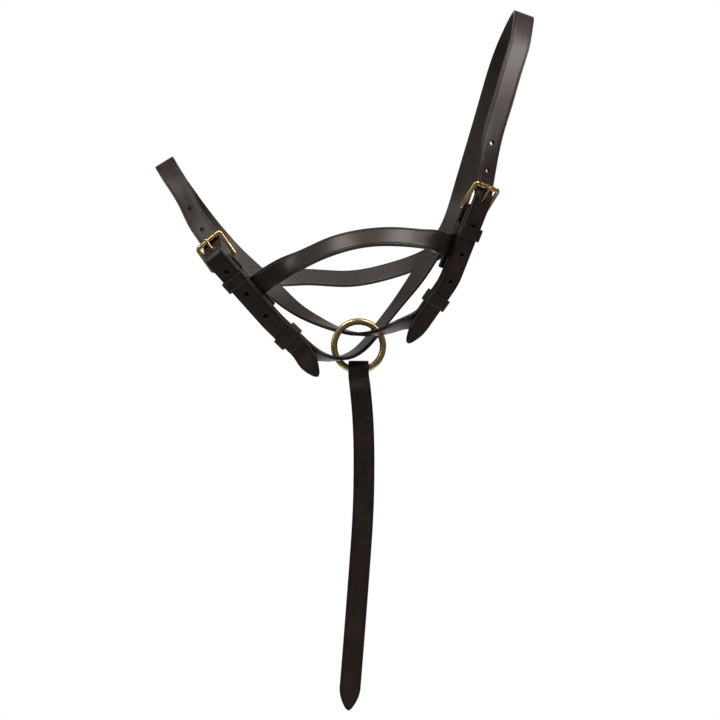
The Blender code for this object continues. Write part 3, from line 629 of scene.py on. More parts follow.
def columns(half, slant, fixed, middle):
    """Distances from the edge of a face's columns, edge to centre, for each row."""
    count = len(fixed) + middle
    inset = np.zeros((len(half), count + 1))
    for j, distance in enumerate(fixed):
        inset[:, j] = np.minimum(distance / slant, half * j / count)
    last = inset[:, len(fixed) - 1]
    for j in range(len(fixed), count + 1):
        share = (j - len(fixed) + 1) / (middle + 1)
        inset[:, j] = last + (half - last) * share
    return inset


def strap_finish(leather, crease_at):
    """How a strap is worked: thickness, rounded edges, crease and columns of the middle."""
    rounds = (leather.edge_round, leather.flesh_round)
    crease = (crease_at, leather.crease_width, leather.crease_depth, 1.0)
    return STRAP_THICKNESS, rounds, crease, (4, 3)


def keeper_finish(leather):
    """The same for a keeper, which is smaller, so its edges and its crease are finer."""
    rounds = (leather.edge_round * 0.6,) * 2
    crease = (leather.keeper_crease, leather.crease_width * 0.7, leather.crease_depth * 0.8, 0.7)
    return KEEPER_WALL, rounds, crease, (2, 1)


def section(half, slant, finish, from_edge):
    """The skin across each row: places across and outwards, and measures of rim and depth."""
    thickness, (grain_round, flesh_round), crease, (grain_middles, flesh_middles) = finish
    crease_at, crease_width, crease_depth, spread = crease
    edge = [share * grain_round for share in EDGE_SHARES]
    edge += [crease_at + offset * spread for offset in CREASE_OFFSETS]
    grain = half[:, None] - columns(half, slant, edge, grain_middles)
    grain = np.concatenate([-grain, grain[:, -2::-1]], axis=1)
    edge = [share * flesh_round for share in EDGE_SHARES]
    flesh = half[:, None] - columns(half, slant, edge, flesh_middles)
    flesh = np.concatenate([flesh[:, 1:], -flesh[:, -2:0:-1]], axis=1)
    grain_rim, distance = from_edge(grain)
    rise = rounded_edge(distance, grain_round)
    groove = np.exp(-(((grain_rim - crease_at) / crease_width) ** 2))
    groove = groove * crease_depth * (rise > FLAT_FACE)
    flesh_rim, distance = from_edge(flesh)
    fall = rounded_edge(distance, flesh_round)
    across = np.concatenate([grain, flesh], axis=1)
    out = np.concatenate([rise * thickness / 2 - groove, -fall * thickness / 2], axis=1)
    rim = np.concatenate([grain_rim, flesh_rim], axis=1)
    return across, out, rim, np.concatenate([rise, -fall], axis=1) / 2 + 0.5


class Strip:
    """A strip of leather: its route, half its width along it, and how it is worked."""

    def __init__(self, route, half_width, finish, tip=False, zero=NO_HOLES):
        self.route = route
        self.half_width = half_width
        self.finish = finish
        self.tip = tip
        self.zero = zero

    def rows(self):
        _, (grain_round, _), _, _ = self.finish
        ends = np.array(EDGE_SHARES[1:]) * grain_round
        inner = self.route.rows()
        length = self.route.length
        clear = ends[-1] * END_CLEARANCE
        inner = inner[(inner > clear) & (inner < length - clear)]
        rows = np.concatenate([ends, inner, (length - ends)[::-1]])
        if self.tip:
            tip = length - TIP_LENGTH
            close = tip + np.arange(0, TIP_LENGTH - TIP_BLUNT, TIP_ROW)
            rows = np.unique(np.concatenate([rows[rows < tip], close, rows[-len(ends) :]]))
        return rows

    def from_side(self, across, places):
        """Distance of each mesh point from the strip's side edges, along the face."""
        distance = self.half_width(places)[:, None] - np.abs(across)
        if self.tip:
            length = self.route.length
            tip = length - TIP_LENGTH
            outline = np.linspace(tip - TIP_OUTLINE_REACH, length, TIP_OUTLINE_STEPS)
            edge = self.half_width(outline)
            for i in np.nonzero(places > tip - TIP_REACH)[0]:
                aside = np.abs(across[i])[:, None] - edge[None, :]
                ahead = places[i] - outline[None, :]
                distance[i] = np.minimum(distance[i], np.hypot(aside, ahead).min(axis=1))
        return np.maximum(distance, 0)

    def build(self, name, look):
        """The strip's closed mesh, with its measures across, along, from the edge and in depth."""
        places = self.rows()
        half = self.half_width(places)
        lean = np.clip(np.gradient(half, places), -STEEPEST_SIDE, STEEPEST_SIDE)
        end = places if self.tip else np.minimum(places, self.route.length - places)

        def from_edge(across):
            side = self.from_side(across, places)
            return side, np.minimum(side, end[:, None])

        across, out, rim, depth = section(half, 1 / np.sqrt(1 + lean**2), self.finish, from_edge)
        middle, _, facing, sideways = self.route.frames(places)
        points = middle[:, None] + sideways[:, None] * across[..., None]
        points = points + facing[:, None] * out[..., None]
        along = np.broadcast_to((places - self.zero)[:, None], across.shape)
        return skin(name, points, look, (across, along), (rim, depth))


def faces_round(rows, ring, closed=False):
    """The faces of a body of rows of points. One that isn't closed has a face over each end."""
    index = np.arange(rows * ring).reshape(rows, ring)
    after = np.roll(index, -1, axis=1)
    below, below_after = np.roll(index, -1, axis=0), np.roll(after, -1, axis=0)
    faces = np.stack([index, below, below_after, after], axis=-1)
    if closed:
        return faces.reshape(-1, 4).tolist()
    return [*faces[:-1].reshape(-1, 4).tolist(), index[0].tolist(), index[-1, ::-1].tolist()]


def mapped_mesh(name, points, faces, maps):
    """A mesh with maps of two measures at each of its points, for the material."""
    mesh = bpy.data.meshes.new(name)
    mesh.from_pydata(np.reshape(points, (-1, 3)).tolist(), [], faces)
    corners = np.zeros(len(mesh.loops), int)
    mesh.loops.foreach_get("vertex_index", corners)
    for label, measures in maps.items():
        values = np.stack([np.ravel(measure) for measure in measures], axis=-1)
        layer = mesh.uv_layers.new(name=label)
        layer.uv.foreach_set("vector", values[corners].astype(np.float32).ravel())
    return mesh


def skin(name, points, look, strap_map, rim_map, closed=False):
    """A mesh from rows of points round a body, with the maps of its strap and its rim."""
    faces = faces_round(*points.shape[:2], closed)
    mesh = mapped_mesh(name, points, faces, {"strap": strap_map, "rim": rim_map})
    return finished(name, mesh, look)


def linked(name, data):
    """A new object in the scene."""
    made = bpy.data.objects.new(name, data)
    bpy.context.scene.collection.objects.link(made)
    return made


def finished(name, mesh, look, sharp=SHARP_EDGE):
    """An object of a mesh, smooth shaded but for its sharp edges, with its faces outwards."""
    bm = bmesh.new()
    bm.from_mesh(mesh)
    bmesh.ops.recalc_face_normals(bm, faces=bm.faces)
    bm.to_mesh(mesh)
    bm.free()
    mesh.materials.append(look)
    mesh.shade_smooth()
    mesh.set_sharp_from_angle(angle=math.radians(sharp))
    return linked(name, mesh)


def tongue_height(along):
    """How far the tongue's middle lies out from the frame, from the curl to the roller."""
    start = FRAME_WIRE / 2 + SEAT_GAP + TONGUE_WIRE / 2
    end = ROLLER_DIAMETER / 2 + SEAT_GAP + TONGUE_WIRE / 2
    return start + (end - start) * along / FRAME_LENGTH


def tongue_crossing(buckle):
    """Where the tongue's middle meets the middle of the billet, as a point."""
    for along in np.arange(0, FRAME_LENGTH, CROSSING_STEP):
        billet = buckle.dips_from - (along - buckle.dips_at) * math.tan(buckle.slope)
        if billet < tongue_height(along):
            break
    return buckle.point(along, tongue_height(along))


def add_body(bm, points):
    """A body of rows of points, for cutting with."""
    corners = [bm.verts.new(point) for point in np.reshape(points, (-1, 3))]
    for face in faces_round(*np.shape(points)[:2]):
        bm.faces.new([corners[i] for i in face])


def add_tongue_slot(bm, buckle):
    """The slot in the chape's fold, through which the tongue turns on the hinge bar."""
    reach = FRAME_WIRE / 2 + SEAT_GAP + TONGUE_WIRE + 2 * TONGUE_SIDE_ROOM
    half = TONGUE_WIRE / 2 + TONGUE_SIDE_ROOM
    far = BAR_TO_BILLET + STRAP_THICKNESS
    corners = ((-half, -reach), (half, -reach), (half, far), (-half, far))
    add_body(bm, [buckle.place([(*corner, out) for corner in corners]) for out in (-far, far)])


def add_tongue_hole(bm, buckle):
    """The hole in the billet, cut along the tongue and wide enough for it to lift."""
    spokes = circle(buckle.across, buckle.outwards, TONGUE_HOLE_SIDES)
    points = []
    for lift in (-TONGUE_HOLE_SPARE, TONGUE_LIFT + TONGUE_HOLE_SPARE):
        turn = math.radians(lift)
        for along in TONGUE_IN_HOLE:
            out = tongue_height(along)
            ahead = along * math.cos(turn) - out * math.sin(turn)
            above = along * math.sin(turn) + out * math.cos(turn)
            points.append(buckle.point(ahead, above) + spokes * (TONGUE_WIRE / 2 + SEAT_GAP))
    corners = [bm.verts.new(point) for point in np.concatenate(points)]
    made = bmesh.ops.convex_hull(bm, input=corners)
    inside = [v for v in made["geom_interior"] if isinstance(v, bmesh.types.BMVert)]
    bmesh.ops.delete(bm, geom=inside, context="VERTS")


def add_punched_hole(bm, route, place):
    """A round hole whose rim the punch has pressed in a little on the grain side."""
    middle, along, facing, across = route.frame(place)
    spokes = circle(across, along, HOLE_SIDES)
    radius = HOLE_DIAMETER / 2
    over = STRAP_THICKNESS / 2
    profile = (
        (radius, -over - LAYER_GAP / 2),
        (radius, over - PUNCH_DEPTH),
        (radius + PUNCH_FLARE, over),
        (radius + PUNCH_ABOVE_FACE, over + LAYER_GAP / 2),
    )
    add_body(bm, [middle + facing * out + spokes * wide for wide, out in profile])


def cut_holes(piece, route, start, end, tongue):
    """Cuts the tongue's slot and hole and the punched holes. Their walls count as cut edge."""
    bm = bmesh.new()
    add_tongue_slot(bm, start)
    add_tongue_hole(bm, end)
    for step in range(-HOLES_ABOVE_TONGUE, HOLES_BELOW_TONGUE + 1):
        if step:
            add_punched_hole(bm, route, tongue + step * HOLE_SPACING)
    bmesh.ops.recalc_face_normals(bm, faces=bm.faces)
    strap_map = bm.loops.layers.uv.new("strap")
    rim_map = bm.loops.layers.uv.new("rim")
    for face in bm.faces:
        for loop in face.loops:
            loop[strap_map].uv = (0.0, NO_HOLES)
            loop[rim_map].uv = (0.0, 0.5)
    mesh = bpy.data.meshes.new("holes")
    bm.to_mesh(mesh)
    bm.free()
    mesh.materials.append(piece.data.materials[0])
    cutter = linked("holes", mesh)
    cut = piece.modifiers.new("Holes", "BOOLEAN")
    cut.operation = "DIFFERENCE"
    cut.solver = "EXACT"
    cut.object = cutter
    bpy.context.view_layer.update()
    evaluated = piece.evaluated_get(bpy.context.evaluated_depsgraph_get())
    mesh = bpy.data.meshes.new_from_object(evaluated)
    mesh.name = piece.name
    piece.modifiers.clear()
    piece.data = mesh
    mesh.set_sharp_from_angle(angle=math.radians(SHARP_EDGE))
    bpy.data.objects.remove(cutter)


def metal_skin(name, points, look, around, run, closed):
    """A mesh of rows round a bar, mapped by how far round it and how far along each point is."""
    maps = [np.broadcast_to(values, points.shape[:2]) for values in (around, run)]
    return skin(name, points, look, maps, maps, closed)


def wire(name, path, square, radii, look, closed=False, flat=1.0, sides=20):
    """A swept round bar along a path that lies in a plane square to one direction."""
    square = unit(square)
    ahead = np.gradient(path, axis=0)
    if closed:
        ahead = np.roll(path, -1, axis=0) - np.roll(path, 1, axis=0)
    beside = np.cross(units(ahead), square)
    spokes = circle(beside, square * np.reshape(flat, (-1, 1)), sides)
    points = path[:, None] + spokes * np.reshape(radii, (-1, 1, 1))
    run = running_total(steps_of(path))[:, None]
    return metal_skin(name, points, look, turn_in(sides), run, closed)


def arc(x, y, radius, start, steps=9, turn=90):
    angles = np.radians(np.linspace(start, start + turn, steps))
    return [(x + radius * math.cos(a), y + radius * math.sin(a)) for a in angles]


def buckle_frame(name, buckle, look):
    """A rectangular frame with round corners, whose front bar is turned down for the roller."""
    half = STRAP_WIDTH / 2 + FRAME_SIDE_ROOM + FRAME_WIRE / 2
    inner = half - FRAME_CORNER
    shoulder = ROLLER_LENGTH / 2 + 2 * ROLLER_ROOM
    bar = FRAME_WIRE / 2
    full = FRAME_LEG_WIDTH / 2
    thin = ROLLER_BAR / 2
    front = FRAME_LENGTH - FRAME_CORNER
    path = [(x, y, full) for x, y in arc(inner, front, FRAME_CORNER, 0)]
    path += [(shoulder + x, FRAME_LENGTH, full * share) for x, share in SHOULDER]
    path += [(shoulder, FRAME_LENGTH, thin), (-shoulder, FRAME_LENGTH, thin)]
    path += [(-shoulder - x, FRAME_LENGTH, full * share) for x, share in SHOULDER[::-1]]
    for x, y, start in (
        (-inner, front, 90),
        (-inner, FRAME_CORNER, 180),
        (inner, FRAME_CORNER, 270),
    ):
        for px, py in arc(x, y, FRAME_CORNER, start):
            level = min(max(py / FRAME_CORNER, 0.0), 1.0)
            path.append((px, py, bar + (full - bar) * level))
    path = np.array(path)
    local = buckle.place(path * (1, 1, 0))
    flat = np.minimum(bar / path[:, 2], 1.0)
    return wire(name, local, buckle.outwards, path[:, 2], look, True, flat, FRAME_SIDES)


def buckle_roller(name, buckle, look):
    """A rolled tube that turns on the front bar, with soft ends and the line where it meets."""
    inner = ROLLER_BAR / 2 + ROLLER_ROOM
    outer = ROLLER_DIAMETER / 2
    half = ROLLER_LENGTH / 2
    soft = (outer - inner) * ROLLER_SOFT_END
    profile = [(inner, -half + 0.1 * MM), (inner + 0.2 * MM, -half)]
    for angle in np.radians((0, 22, 45, 68, 90)):
        profile.append((outer - soft + soft * math.sin(angle), soft * (1 - math.cos(angle)) - half))
    profile += [(outer, -half * 0.5), (outer, 0.0)]
    profile += [(r, -x) for r, x in profile[-2::-1]]
    out, run = np.array(profile).T
    angles = turn_in(ROLLER_SIDES)[:, None]
    sink = ROLLER_LINE_DEPTH * np.exp(-(((angles - math.pi) / ROLLER_LINE_WIDTH) ** 2))
    out = out - sink * (out > inner + 0.3 * MM)
    places = (run + 0 * out, FRAME_LENGTH + out * np.cos(angles), out * np.sin(angles))
    points = buckle.place(np.stack(places, axis=-1))
    return metal_skin(name, points, look, angles, run, closed=True)


def buckle_tongue(name, buckle, look):
    """A wire curled round the hinge bar, lying on the roller, with a dressed end."""
    curl = FRAME_WIRE / 2 + SEAT_GAP + TONGUE_WIRE / 2
    path = [(*spot, 1.0) for spot in arc(0, 0, curl, 90 + TONGUE_CURL, 30, -TONGUE_CURL)]
    path[0] = (*path[0][:2], TONGUE_CUT)
    for share in np.linspace(0.08, 1.0, 14):
        along = FRAME_LENGTH * share
        path.append((along, tongue_height(along), 1.0 - TONGUE_TAPER * share))
    end = FRAME_LENGTH + TONGUE_OVERHANG
    height = tongue_height(FRAME_LENGTH)
    path += [(end - back, height, share) for back, share in TONGUE_END]
    path = np.array(path)
    local = buckle.place(np.roll(path * (1, 1, 0), 1, axis=1))
    return wire(name, local, buckle.across, path[:, 2] * TONGUE_WIRE / 2, look)


def keeper_path(radius, half_x, low, high):
    """The middle of a keeper's wall round the two layers, with the way it looks, as an angle."""
    corners = (
        (half_x - radius, high - radius, 0),
        (radius - half_x, high - radius, 90),
        (radius - half_x, low + radius, 180),
        (half_x - radius, low + radius, 270),
    )
    path = []
    for (x, y, start), (next_x, next_y, next_start) in zip(corners, corners[1:] + corners[:1]):
        spots = arc(x, y, radius, start, steps=10)
        angles = np.radians(np.linspace(start, start + 90, 10))
        path += [(*spot, angle) for spot, angle in zip(spots, angles)]
        first = np.array(spots[-1])
        last = np.array(arc(next_x, next_y, radius, next_start, steps=2)[0])
        count = max(2, round(np.linalg.norm(last - first) / KEEPER_SPOT_STEP))
        for k in range(1, count):
            path.append((*(first + (last - first) * k / count), angles[-1]))
    return np.array(path)


def keeper(name, buckle, place, leather, look):
    """A creased leather loop round the chape and the billet, at a place on the chape."""
    middle, along, facing, across = buckle.base.frame(place)
    half_wall = KEEPER_WALL / 2
    path = keeper_path(
        KEEPER_INNER_ROUND + half_wall,
        STRAP_WIDTH / 2 + KEEPER_SIDE_ROOM + half_wall,
        -STRAP_THICKNESS / 2 - LAYER_GAP - half_wall,
        LAYER + STRAP_THICKNESS / 2 + LAYER_GAP + half_wall,
    )
    outs = np.column_stack([np.cos(path[:, 2]), np.sin(path[:, 2])])
    half = np.full(len(path), KEEPER_LENGTH / 2)

    def from_edge(shift):
        side = half[:, None] - np.abs(shift)
        return side, side

    shift, out, rim, depth = section(half, 1.0 + 0 * half, keeper_finish(leather), from_edge)
    spot = path[:, None, :2] + outs[:, None] * out[..., None]
    points = middle + across * spot[..., :1] + facing * spot[..., 1:] + along * shift[..., None]
    run = np.broadcast_to(np.linspace(0, 0.08, len(path))[:, None] + NO_HOLES, shift.shape)
    return skin(name, points, look, (shift, run), (rim, depth), closed=True)


def ring(name, centre, look):
    path = centre + RING_RADIUS * circle(BACK, UP, RING_ROWS)
    return wire(name, path, FAR, RING_WIRE / 2, look, closed=True, sides=RING_SIDES)


def seam_on(route, start, end, pitch):
    """Stitches on a strap's outer face from one spot (across, along) to another."""
    start = np.asarray(start, float)
    end = np.asarray(end, float)
    count = max(1, round(np.linalg.norm(end - start) / pitch))
    found = []
    for i in range(count):
        across_at, along_at = start + (end - start) * (i + 0.5) / count
        middle, along, facing, across = route.frame(along_at)
        point = middle + across * across_at + facing * STRAP_THICKNESS / 2
        runs = unit(across * (end - start)[0] + along * (end - start)[1])
        found.append((point, runs, facing))
    return found


def box_seam(route, near, far, pitch):
    """Stitches round three sides of a box on a strap's face, between two places along it."""
    wide = STRAP_WIDTH / 2 - SEAM_INSET
    found = seam_on(route, (-wide, near), (-wide, far), pitch)
    found += seam_on(route, (wide, near), (wide, far), pitch)
    return found + seam_on(route, (-wide, near), (wide, near), pitch)


def through(stitches, thickness):
    """The same stitches where they come out on the far face of what they hold."""
    return [(point - normal * thickness, runs, -normal) for point, runs, normal in stitches]


# A stitch, by shares: how far along it, how high its middle lies, and how thick it is
STITCH = (
    (-1.0, -0.9, 0.7),
    (-0.86, -0.25, 0.95),
    (-0.6, 0.28, 1.0),
    (-0.3, 0.46, 1.05),
    (0.0, 0.50, 1.08),
    (0.3, 0.46, 1.05),
    (0.6, 0.28, 1.0),
    (0.86, -0.25, 0.95),
    (1.0, -0.9, 0.7),
)
STITCH_SIDES = 8
STITCH_FLAT = 0.8


def stitching(name, stitches, thread, look):
    """Each stitch is a short slanted bridge of thread that dives into the leather at its ends."""
    radius = thread.thickness / 2
    half = thread.pitch * thread.cover / 2
    share, rise, wide = np.array(STITCH).T[:, :, None]
    points = []
    for point, runs, normal in stitches:
        ahead = turned(runs, np.cross(normal, runs), math.radians(thread.slant))
        centre = point + ahead * share * half + normal * rise * radius
        spokes = circle(np.cross(normal, ahead), normal * STITCH_FLAT, STITCH_SIDES)
        points.append(centre[:, None] + spokes * wide[..., None] * radius)
    one = faces_round(len(STITCH), STITCH_SIDES)
    firsts = range(0, np.size(points) // 3, len(STITCH) * STITCH_SIDES)
    faces = [[first + i for i in face] for first in firsts for face in one]
    shape = np.shape(points)[:3]
    measures = [np.broadcast_to(row, shape) for row in (turn_in(STITCH_SIDES), share * half)]
    return finished(name, mapped_mesh(name, points, faces, {"strap": measures}), look, SHARP_STITCH)


def operator_pair(operation):
    """An overloaded operator and its reflected form, each as one Math node."""
    return (
        lambda value, other: value.tree.maths(operation, value, other),
        lambda value, other: value.tree.maths(operation, other, value),
    )


class Value:
    """A socket in a material. Sums on it add the nodes that work them out."""

    __add__, __radd__ = operator_pair("ADD")
    __sub__, __rsub__ = operator_pair("SUBTRACT")
    __mul__, __rmul__ = operator_pair("MULTIPLY")
    __truediv__, __rtruediv__ = operator_pair("DIVIDE")

    def __init__(self, tree, socket):
        self.tree = tree
        self.socket = socket

    def __abs__(self):
        return self.maths("ABSOLUTE")

    def maths(self, operation, *others):
        return self.tree.maths(operation, self, *others)

    def most(self, other):
        return self.maths("MAXIMUM", other)

    def between(self, low, high):
        """Smoothly from 0 at low to 1 at high."""
        settings = {"interpolation_type": "SMOOTHSTEP"}
        sockets = {"Value": self, "From Min": low, "From Max": high}
        return self.tree.read("MapRange", "Result", settings, sockets)


class Tree:
    """The nodes of one material or of the world."""

    def __init__(self, owner):
        owner.use_nodes = True
        self.owner = owner
        self.nodes = owner.node_tree.nodes
        self.links = owner.node_tree.links
        self.nodes.clear()

    def add(self, kind, settings=None, sockets=None):
        """A node of a kind, with its settings made first, then its sockets' values or links."""
        node = self.nodes.new("ShaderNode" + kind)
        for name, value in (settings or {}).items():
            setattr(node, name, value)
        for name, value in (sockets or {}).items():
            if isinstance(value, Value):
                self.links.new(value.socket, node.inputs[name])
            else:
                node.inputs[name].default_value = value
        return node

    def read(self, kind, output, settings=None, sockets=None):
        return Value(self, self.add(kind, settings, sockets).outputs[output])

    def maths(self, operation, *values):
        return self.read("Math", 0, {"operation": operation}, dict(enumerate(values)))

    def mix(self, share, first, second):
        """A colour between two colours."""
        settings = {"data_type": "RGBA", "clamp_factor": True}
        return self.read("Mix", 2, settings, {0: share, 6: rgba(first), 7: rgba(second)})

    def painted(self, colour, *layers):
        """A colour under layers of others, each with the share that it covers."""
        for share, over in layers:
            colour = self.mix(share, colour, over)
        return colour

    def noise(self, place, scale, detail=2.0, roughness=0.5, distortion=0.0):
        names = ("Vector", "Scale", "Detail", "Roughness", "Distortion")
        values = (place, scale, detail, roughness, distortion)
        return self.read("TexNoise", 0, None, dict(zip(names, values)))

    def cells(self, place, scale, feature="F1"):
        sockets = {"Vector": place, "Scale": scale}
        return self.read("TexVoronoi", "Distance", {"feature": feature}, sockets)

    def place(self):
        """Where on the object a point lies."""
        return self.read("TexCoord", "Object")

    def measures(self, label):
        """The two measures of a map, as two values."""
        place = self.read("UVMap", "UV", {"uv_map": label})
        parts = self.add("SeparateXYZ", None, {"Vector": place})
        return Value(self, parts.outputs["X"]), Value(self, parts.outputs["Y"])

    def vector(self, x, y, z):
        return self.read("CombineXYZ", 0, None, {0: x, 1: y, 2: z})

    def bump(self, height):
        """A normal from a height in metres."""
        return self.read("Bump", 0, None, {"Strength": 1.0, "Distance": 1.0, "Height": height})

    def finish(self, shader, output="OutputMaterial"):
        """Joins a shader to the output, and gives back what the nodes belong to."""
        self.links.new(shader.outputs[0], self.add(output).inputs["Surface"])
        return self.owner

    def surface(self, colour, shine, height, **more):
        """Ends a material in one surface with a colour, a roughness and a relief."""
        more.update({"Base Color": colour, "Roughness": shine, "Normal": self.bump(height)})
        return self.finish(self.add("BsdfPrincipled", None, more))


def material_tree(name):
    return Tree(bpy.data.materials.new(name))


def rgba(colour):
    """A colour as a socket takes it. One that nodes work out stays as it is."""
    return colour if isinstance(colour, Value) else (*colour, 1.0)


def bridle_leather(name, leather, tone=1.0):
    """Dyed and waxed leather: fine grain on its outer face, fibres inside, burnished edges, and
    painted shade along the crease lines.
    """
    tree = material_tree(name)
    place = tree.place()
    across, along = tree.measures("strap")
    rim, depth = tree.measures("rim")
    flesh = 1.0 - depth.between(0.16, 0.34)
    edge = 1.0 - rim.between(0.25 * MM, 1.3 * MM)
    wall = (1.0 - abs(depth - 0.5).between(0.30, 0.47)).most(edge * 0.8)
    # Painted shade: the grain side is darkened along the crease groove, where shade falls in it
    crease = 1.0 - abs(rim - leather.crease_at).between(0.10 * MM, 0.62 * MM)
    crease = crease * (1.0 - flesh)

    # Holes: their distance from the strap's middle line and from the nearest punched spot
    step = along / HOLE_SPACING
    nearest = step.maths("ROUND")
    inside = nearest.maths("GREATER_THAN", -HOLES_ABOVE_TONGUE - 0.5)
    inside = inside * nearest.maths("LESS_THAN", HOLES_BELOW_TONGUE + 0.5)
    run = (step - nearest) * HOLE_SPACING
    from_hole = (across * across + run * run).maths("SQRT")
    halo = (1.0 - from_hole.between(HOLE_DIAMETER / 2, HOLE_DIAMETER / 2 + 1.4 * MM)) * inside

    broad = tree.noise(place, 28.0, 3.0, 0.55)
    cloud = tree.noise(place, 170.0, 4.0, 0.6)
    fine = tree.noise(place, 2300.0, 3.0, 0.65)
    pores = 1.0 - tree.cells(place, 1300.0).between(0.05, 0.30)
    wrinkles = tree.cells(place, 820.0, "DISTANCE_TO_EDGE").between(0.0, 0.16)
    fibres = tree.noise(tree.vector(across * 900.0, along * 260.0, depth * 3.0), 1.0, 4.0, 0.7)

    dyed = tree.painted(
        leather.deep,
        (cloud.between(0.30, 0.72), leather.grain),
        (broad.between(0.42, 0.75) * 0.5, leather.worn),
        (pores * 0.35, leather.edge),
    )
    rough = tree.mix(fibres.between(0.30, 0.75), leather.deep, leather.flesh)
    colour = tree.mix(flesh, dyed, rough)
    # Darkened in the edge colour: burnished edges, painted shade along the crease line, and a
    # darker ring round each punched hole
    for share in (wall * 0.9, crease * 0.75, halo * 0.6):
        colour = tree.mix(share, colour, leather.edge)
    shine = (0.33 + 0.10 * cloud + 0.04 * fine - 0.04 * halo) * tone
    shine = shine + flesh * 0.12 - wall * 0.03

    grain = wrinkles * 0.005 * MM + fine * 0.003 * MM - pores * 0.005 * MM
    grain = grain * (1.0 - flesh) * (1.0 - wall * 0.7)
    height = grain + flesh * fibres * 0.03 * MM + cloud * 0.015 * MM + wall * fine * 0.008 * MM
    height = height - halo * 0.05 * MM
    gloss = {"Specular IOR Level": 0.42, "Specular Tint": (1.0, 0.88, 0.80, 1.0)}
    gloss.update({"Coat Weight": leather.wax, "Coat Roughness": 0.24})
    return tree.surface(colour, shine, height, **gloss)


def polished_brass(name, brass):
    """Cast brass, polished and a little handled: brush lines, fine scratches and dull spots."""
    tree = material_tree(name)
    place = tree.place()
    around, run = tree.measures("strap")
    cloud = tree.noise(place, 260.0, 4.0, 0.6)
    broad = tree.noise(place, 70.0, 3.0, 0.5)
    lines = tree.noise(tree.vector(around * 30.0, run * 700.0, 0.0), 1.0, 3.0, 0.6)
    scratch = tree.noise(place, 1400.0, 5.0, 0.75, 1.4)
    dull = cloud.between(0.46, 0.78)
    warm = broad.between(0.4, 0.8) * 0.35
    colour = tree.painted(brass.colour, (dull * 0.55, brass.tarnish), (warm, brass.warm))
    shine = brass.roughness + 0.14 * dull + 0.08 * scratch
    height = cloud * 0.010 * MM + lines * 0.002 * MM + scratch.between(0.55, 0.75) * 0.002 * MM
    return tree.surface(colour, shine, height, Metallic=1.0)


def waxed_thread(name, thread):
    """Dark waxed thread with the lay of its strands, and painted shade between them."""
    tree = material_tree(name)
    around, run = tree.measures("strap")
    place = tree.place()
    turn = (around + run / thread.lay * 2 * math.pi) * 1.5
    strand = abs(turn.maths("SINE"))
    fuzz = tree.noise(place, 3000.0, 3.0, 0.6)
    loose = fuzz.between(0.5, 0.8) * 0.4
    strands = strand.between(0.1, 0.8)
    # Painted shade between the strands: the colour runs from the shade colour in the grooves to the
    # thread colour on the strands
    colour = tree.painted(thread.shade, (strands, thread.colour), (loose, thread.fuzz))
    height = strand * 0.05 * MM + fuzz * 0.02 * MM
    return tree.surface(colour, 0.5 + 0.2 * fuzz, height)


def colour_setting(name, about, default):
    return bpy.props.FloatVectorProperty(
        name=name, description=about, subtype="COLOR", size=3, min=0.0, max=1.0, default=default
    )


def number_setting(name, about, default, **more):
    return bpy.props.FloatProperty(name=name, description=about, default=default, min=0.0, **more)


def length_setting(name, about, default):
    return number_setting(name, about, default, precision=5, unit="LENGTH")


def share_setting(name, about, default):
    return number_setting(name, about, default, max=1.0, subtype="FACTOR")


class HalterLeather(bpy.types.PropertyGroup):
    """The strap leather's colours and the way its edges are worked."""

    grain: colour_setting("Grain", "Dyed outer face", (0.0230, 0.0125, 0.0085))
    deep: colour_setting("Deep dye", "Darkest patches of the dye", (0.0130, 0.0072, 0.0050))
    worn: colour_setting("Worn", "Where handling has lightened the dye", (0.0360, 0.0200, 0.0135))
    flesh: colour_setting("Flesh side", "Waxed inner face", (0.0300, 0.0220, 0.0180))
    # Colour of the burnished edges, also painted along the crease lines as their shade
    edge: colour_setting("Edge", "Burnished edges and creases", (0.0045, 0.0034, 0.0030))
    wax: share_setting("Wax", "How much wax lies on the leather", 0.10)
    edge_round: length_setting("Edge rounding", "Rounding of the outer edges", 0.0009)
    flesh_round: length_setting("Inner rounding", "Rounding of the inner edges", 0.0006)
    crease_at: length_setting("Crease inset", "Crease line from the edge", 0.0019)
    tail_crease: length_setting("Tail crease inset", "The tail's crease line from the edge", 0.0024)
    keeper_crease: length_setting("Keeper crease inset", "A keeper's crease from its edge", 0.0014)
    crease_width: length_setting("Crease width", "Half the width of a crease line", 0.00020)
    crease_depth: length_setting("Crease depth", "Depth of a crease line", 0.00026)


class HalterBrass(bpy.types.PropertyGroup):
    """The finish of the buckles and the ring."""

    colour: colour_setting("Brass", "Polished brass", (0.64, 0.46, 0.215))
    warm: colour_setting("Warm brass", "Handled, warmer areas", (0.52, 0.34, 0.140))
    tarnish: colour_setting("Tarnish", "Duller, browner spots", (0.32, 0.21, 0.095))
    roughness: share_setting("Roughness", "Least roughness of the polish", 0.22)


class HalterThread(bpy.types.PropertyGroup):
    """The saddle stitching."""

    colour: colour_setting("Thread", "Dyed thread", (0.030, 0.020, 0.015))
    # Painted shade: the darker colour between the strands stands for the shade that falls there
    shade: colour_setting("Thread shade", "Between the strands", (0.010, 0.007, 0.006))
    fuzz: colour_setting("Thread fuzz", "Loose fibres", (0.055, 0.040, 0.030))
    thickness: length_setting("Thickness", "Thread thickness", 0.0007)
    pitch: length_setting("Pitch", "From one stitch to the next", 0.0030)
    lay: length_setting("Lay", "Length of one turn of the strands", 0.0014)
    cover: share_setting("Cover", "Share of the pitch that a stitch covers", 0.82)
    slant: number_setting("Slant", "Lean of each stitch, in degrees", 9.0, max=40.0)


class HalterStage(bpy.types.PropertyGroup):
    """The pale floor, the lamps and the camera."""

    lamp: number_setting("Lamps", "Strength of the lamps", 1.0)
    room: share_setting("Room light", "Strength of the light from all round", 0.28)
    front: share_setting("Front", "How bright the room in front of the halter is", 0.12)
    floor_drop: length_setting("Floor drop", "From the tail's tip down to the floor", 0.33)


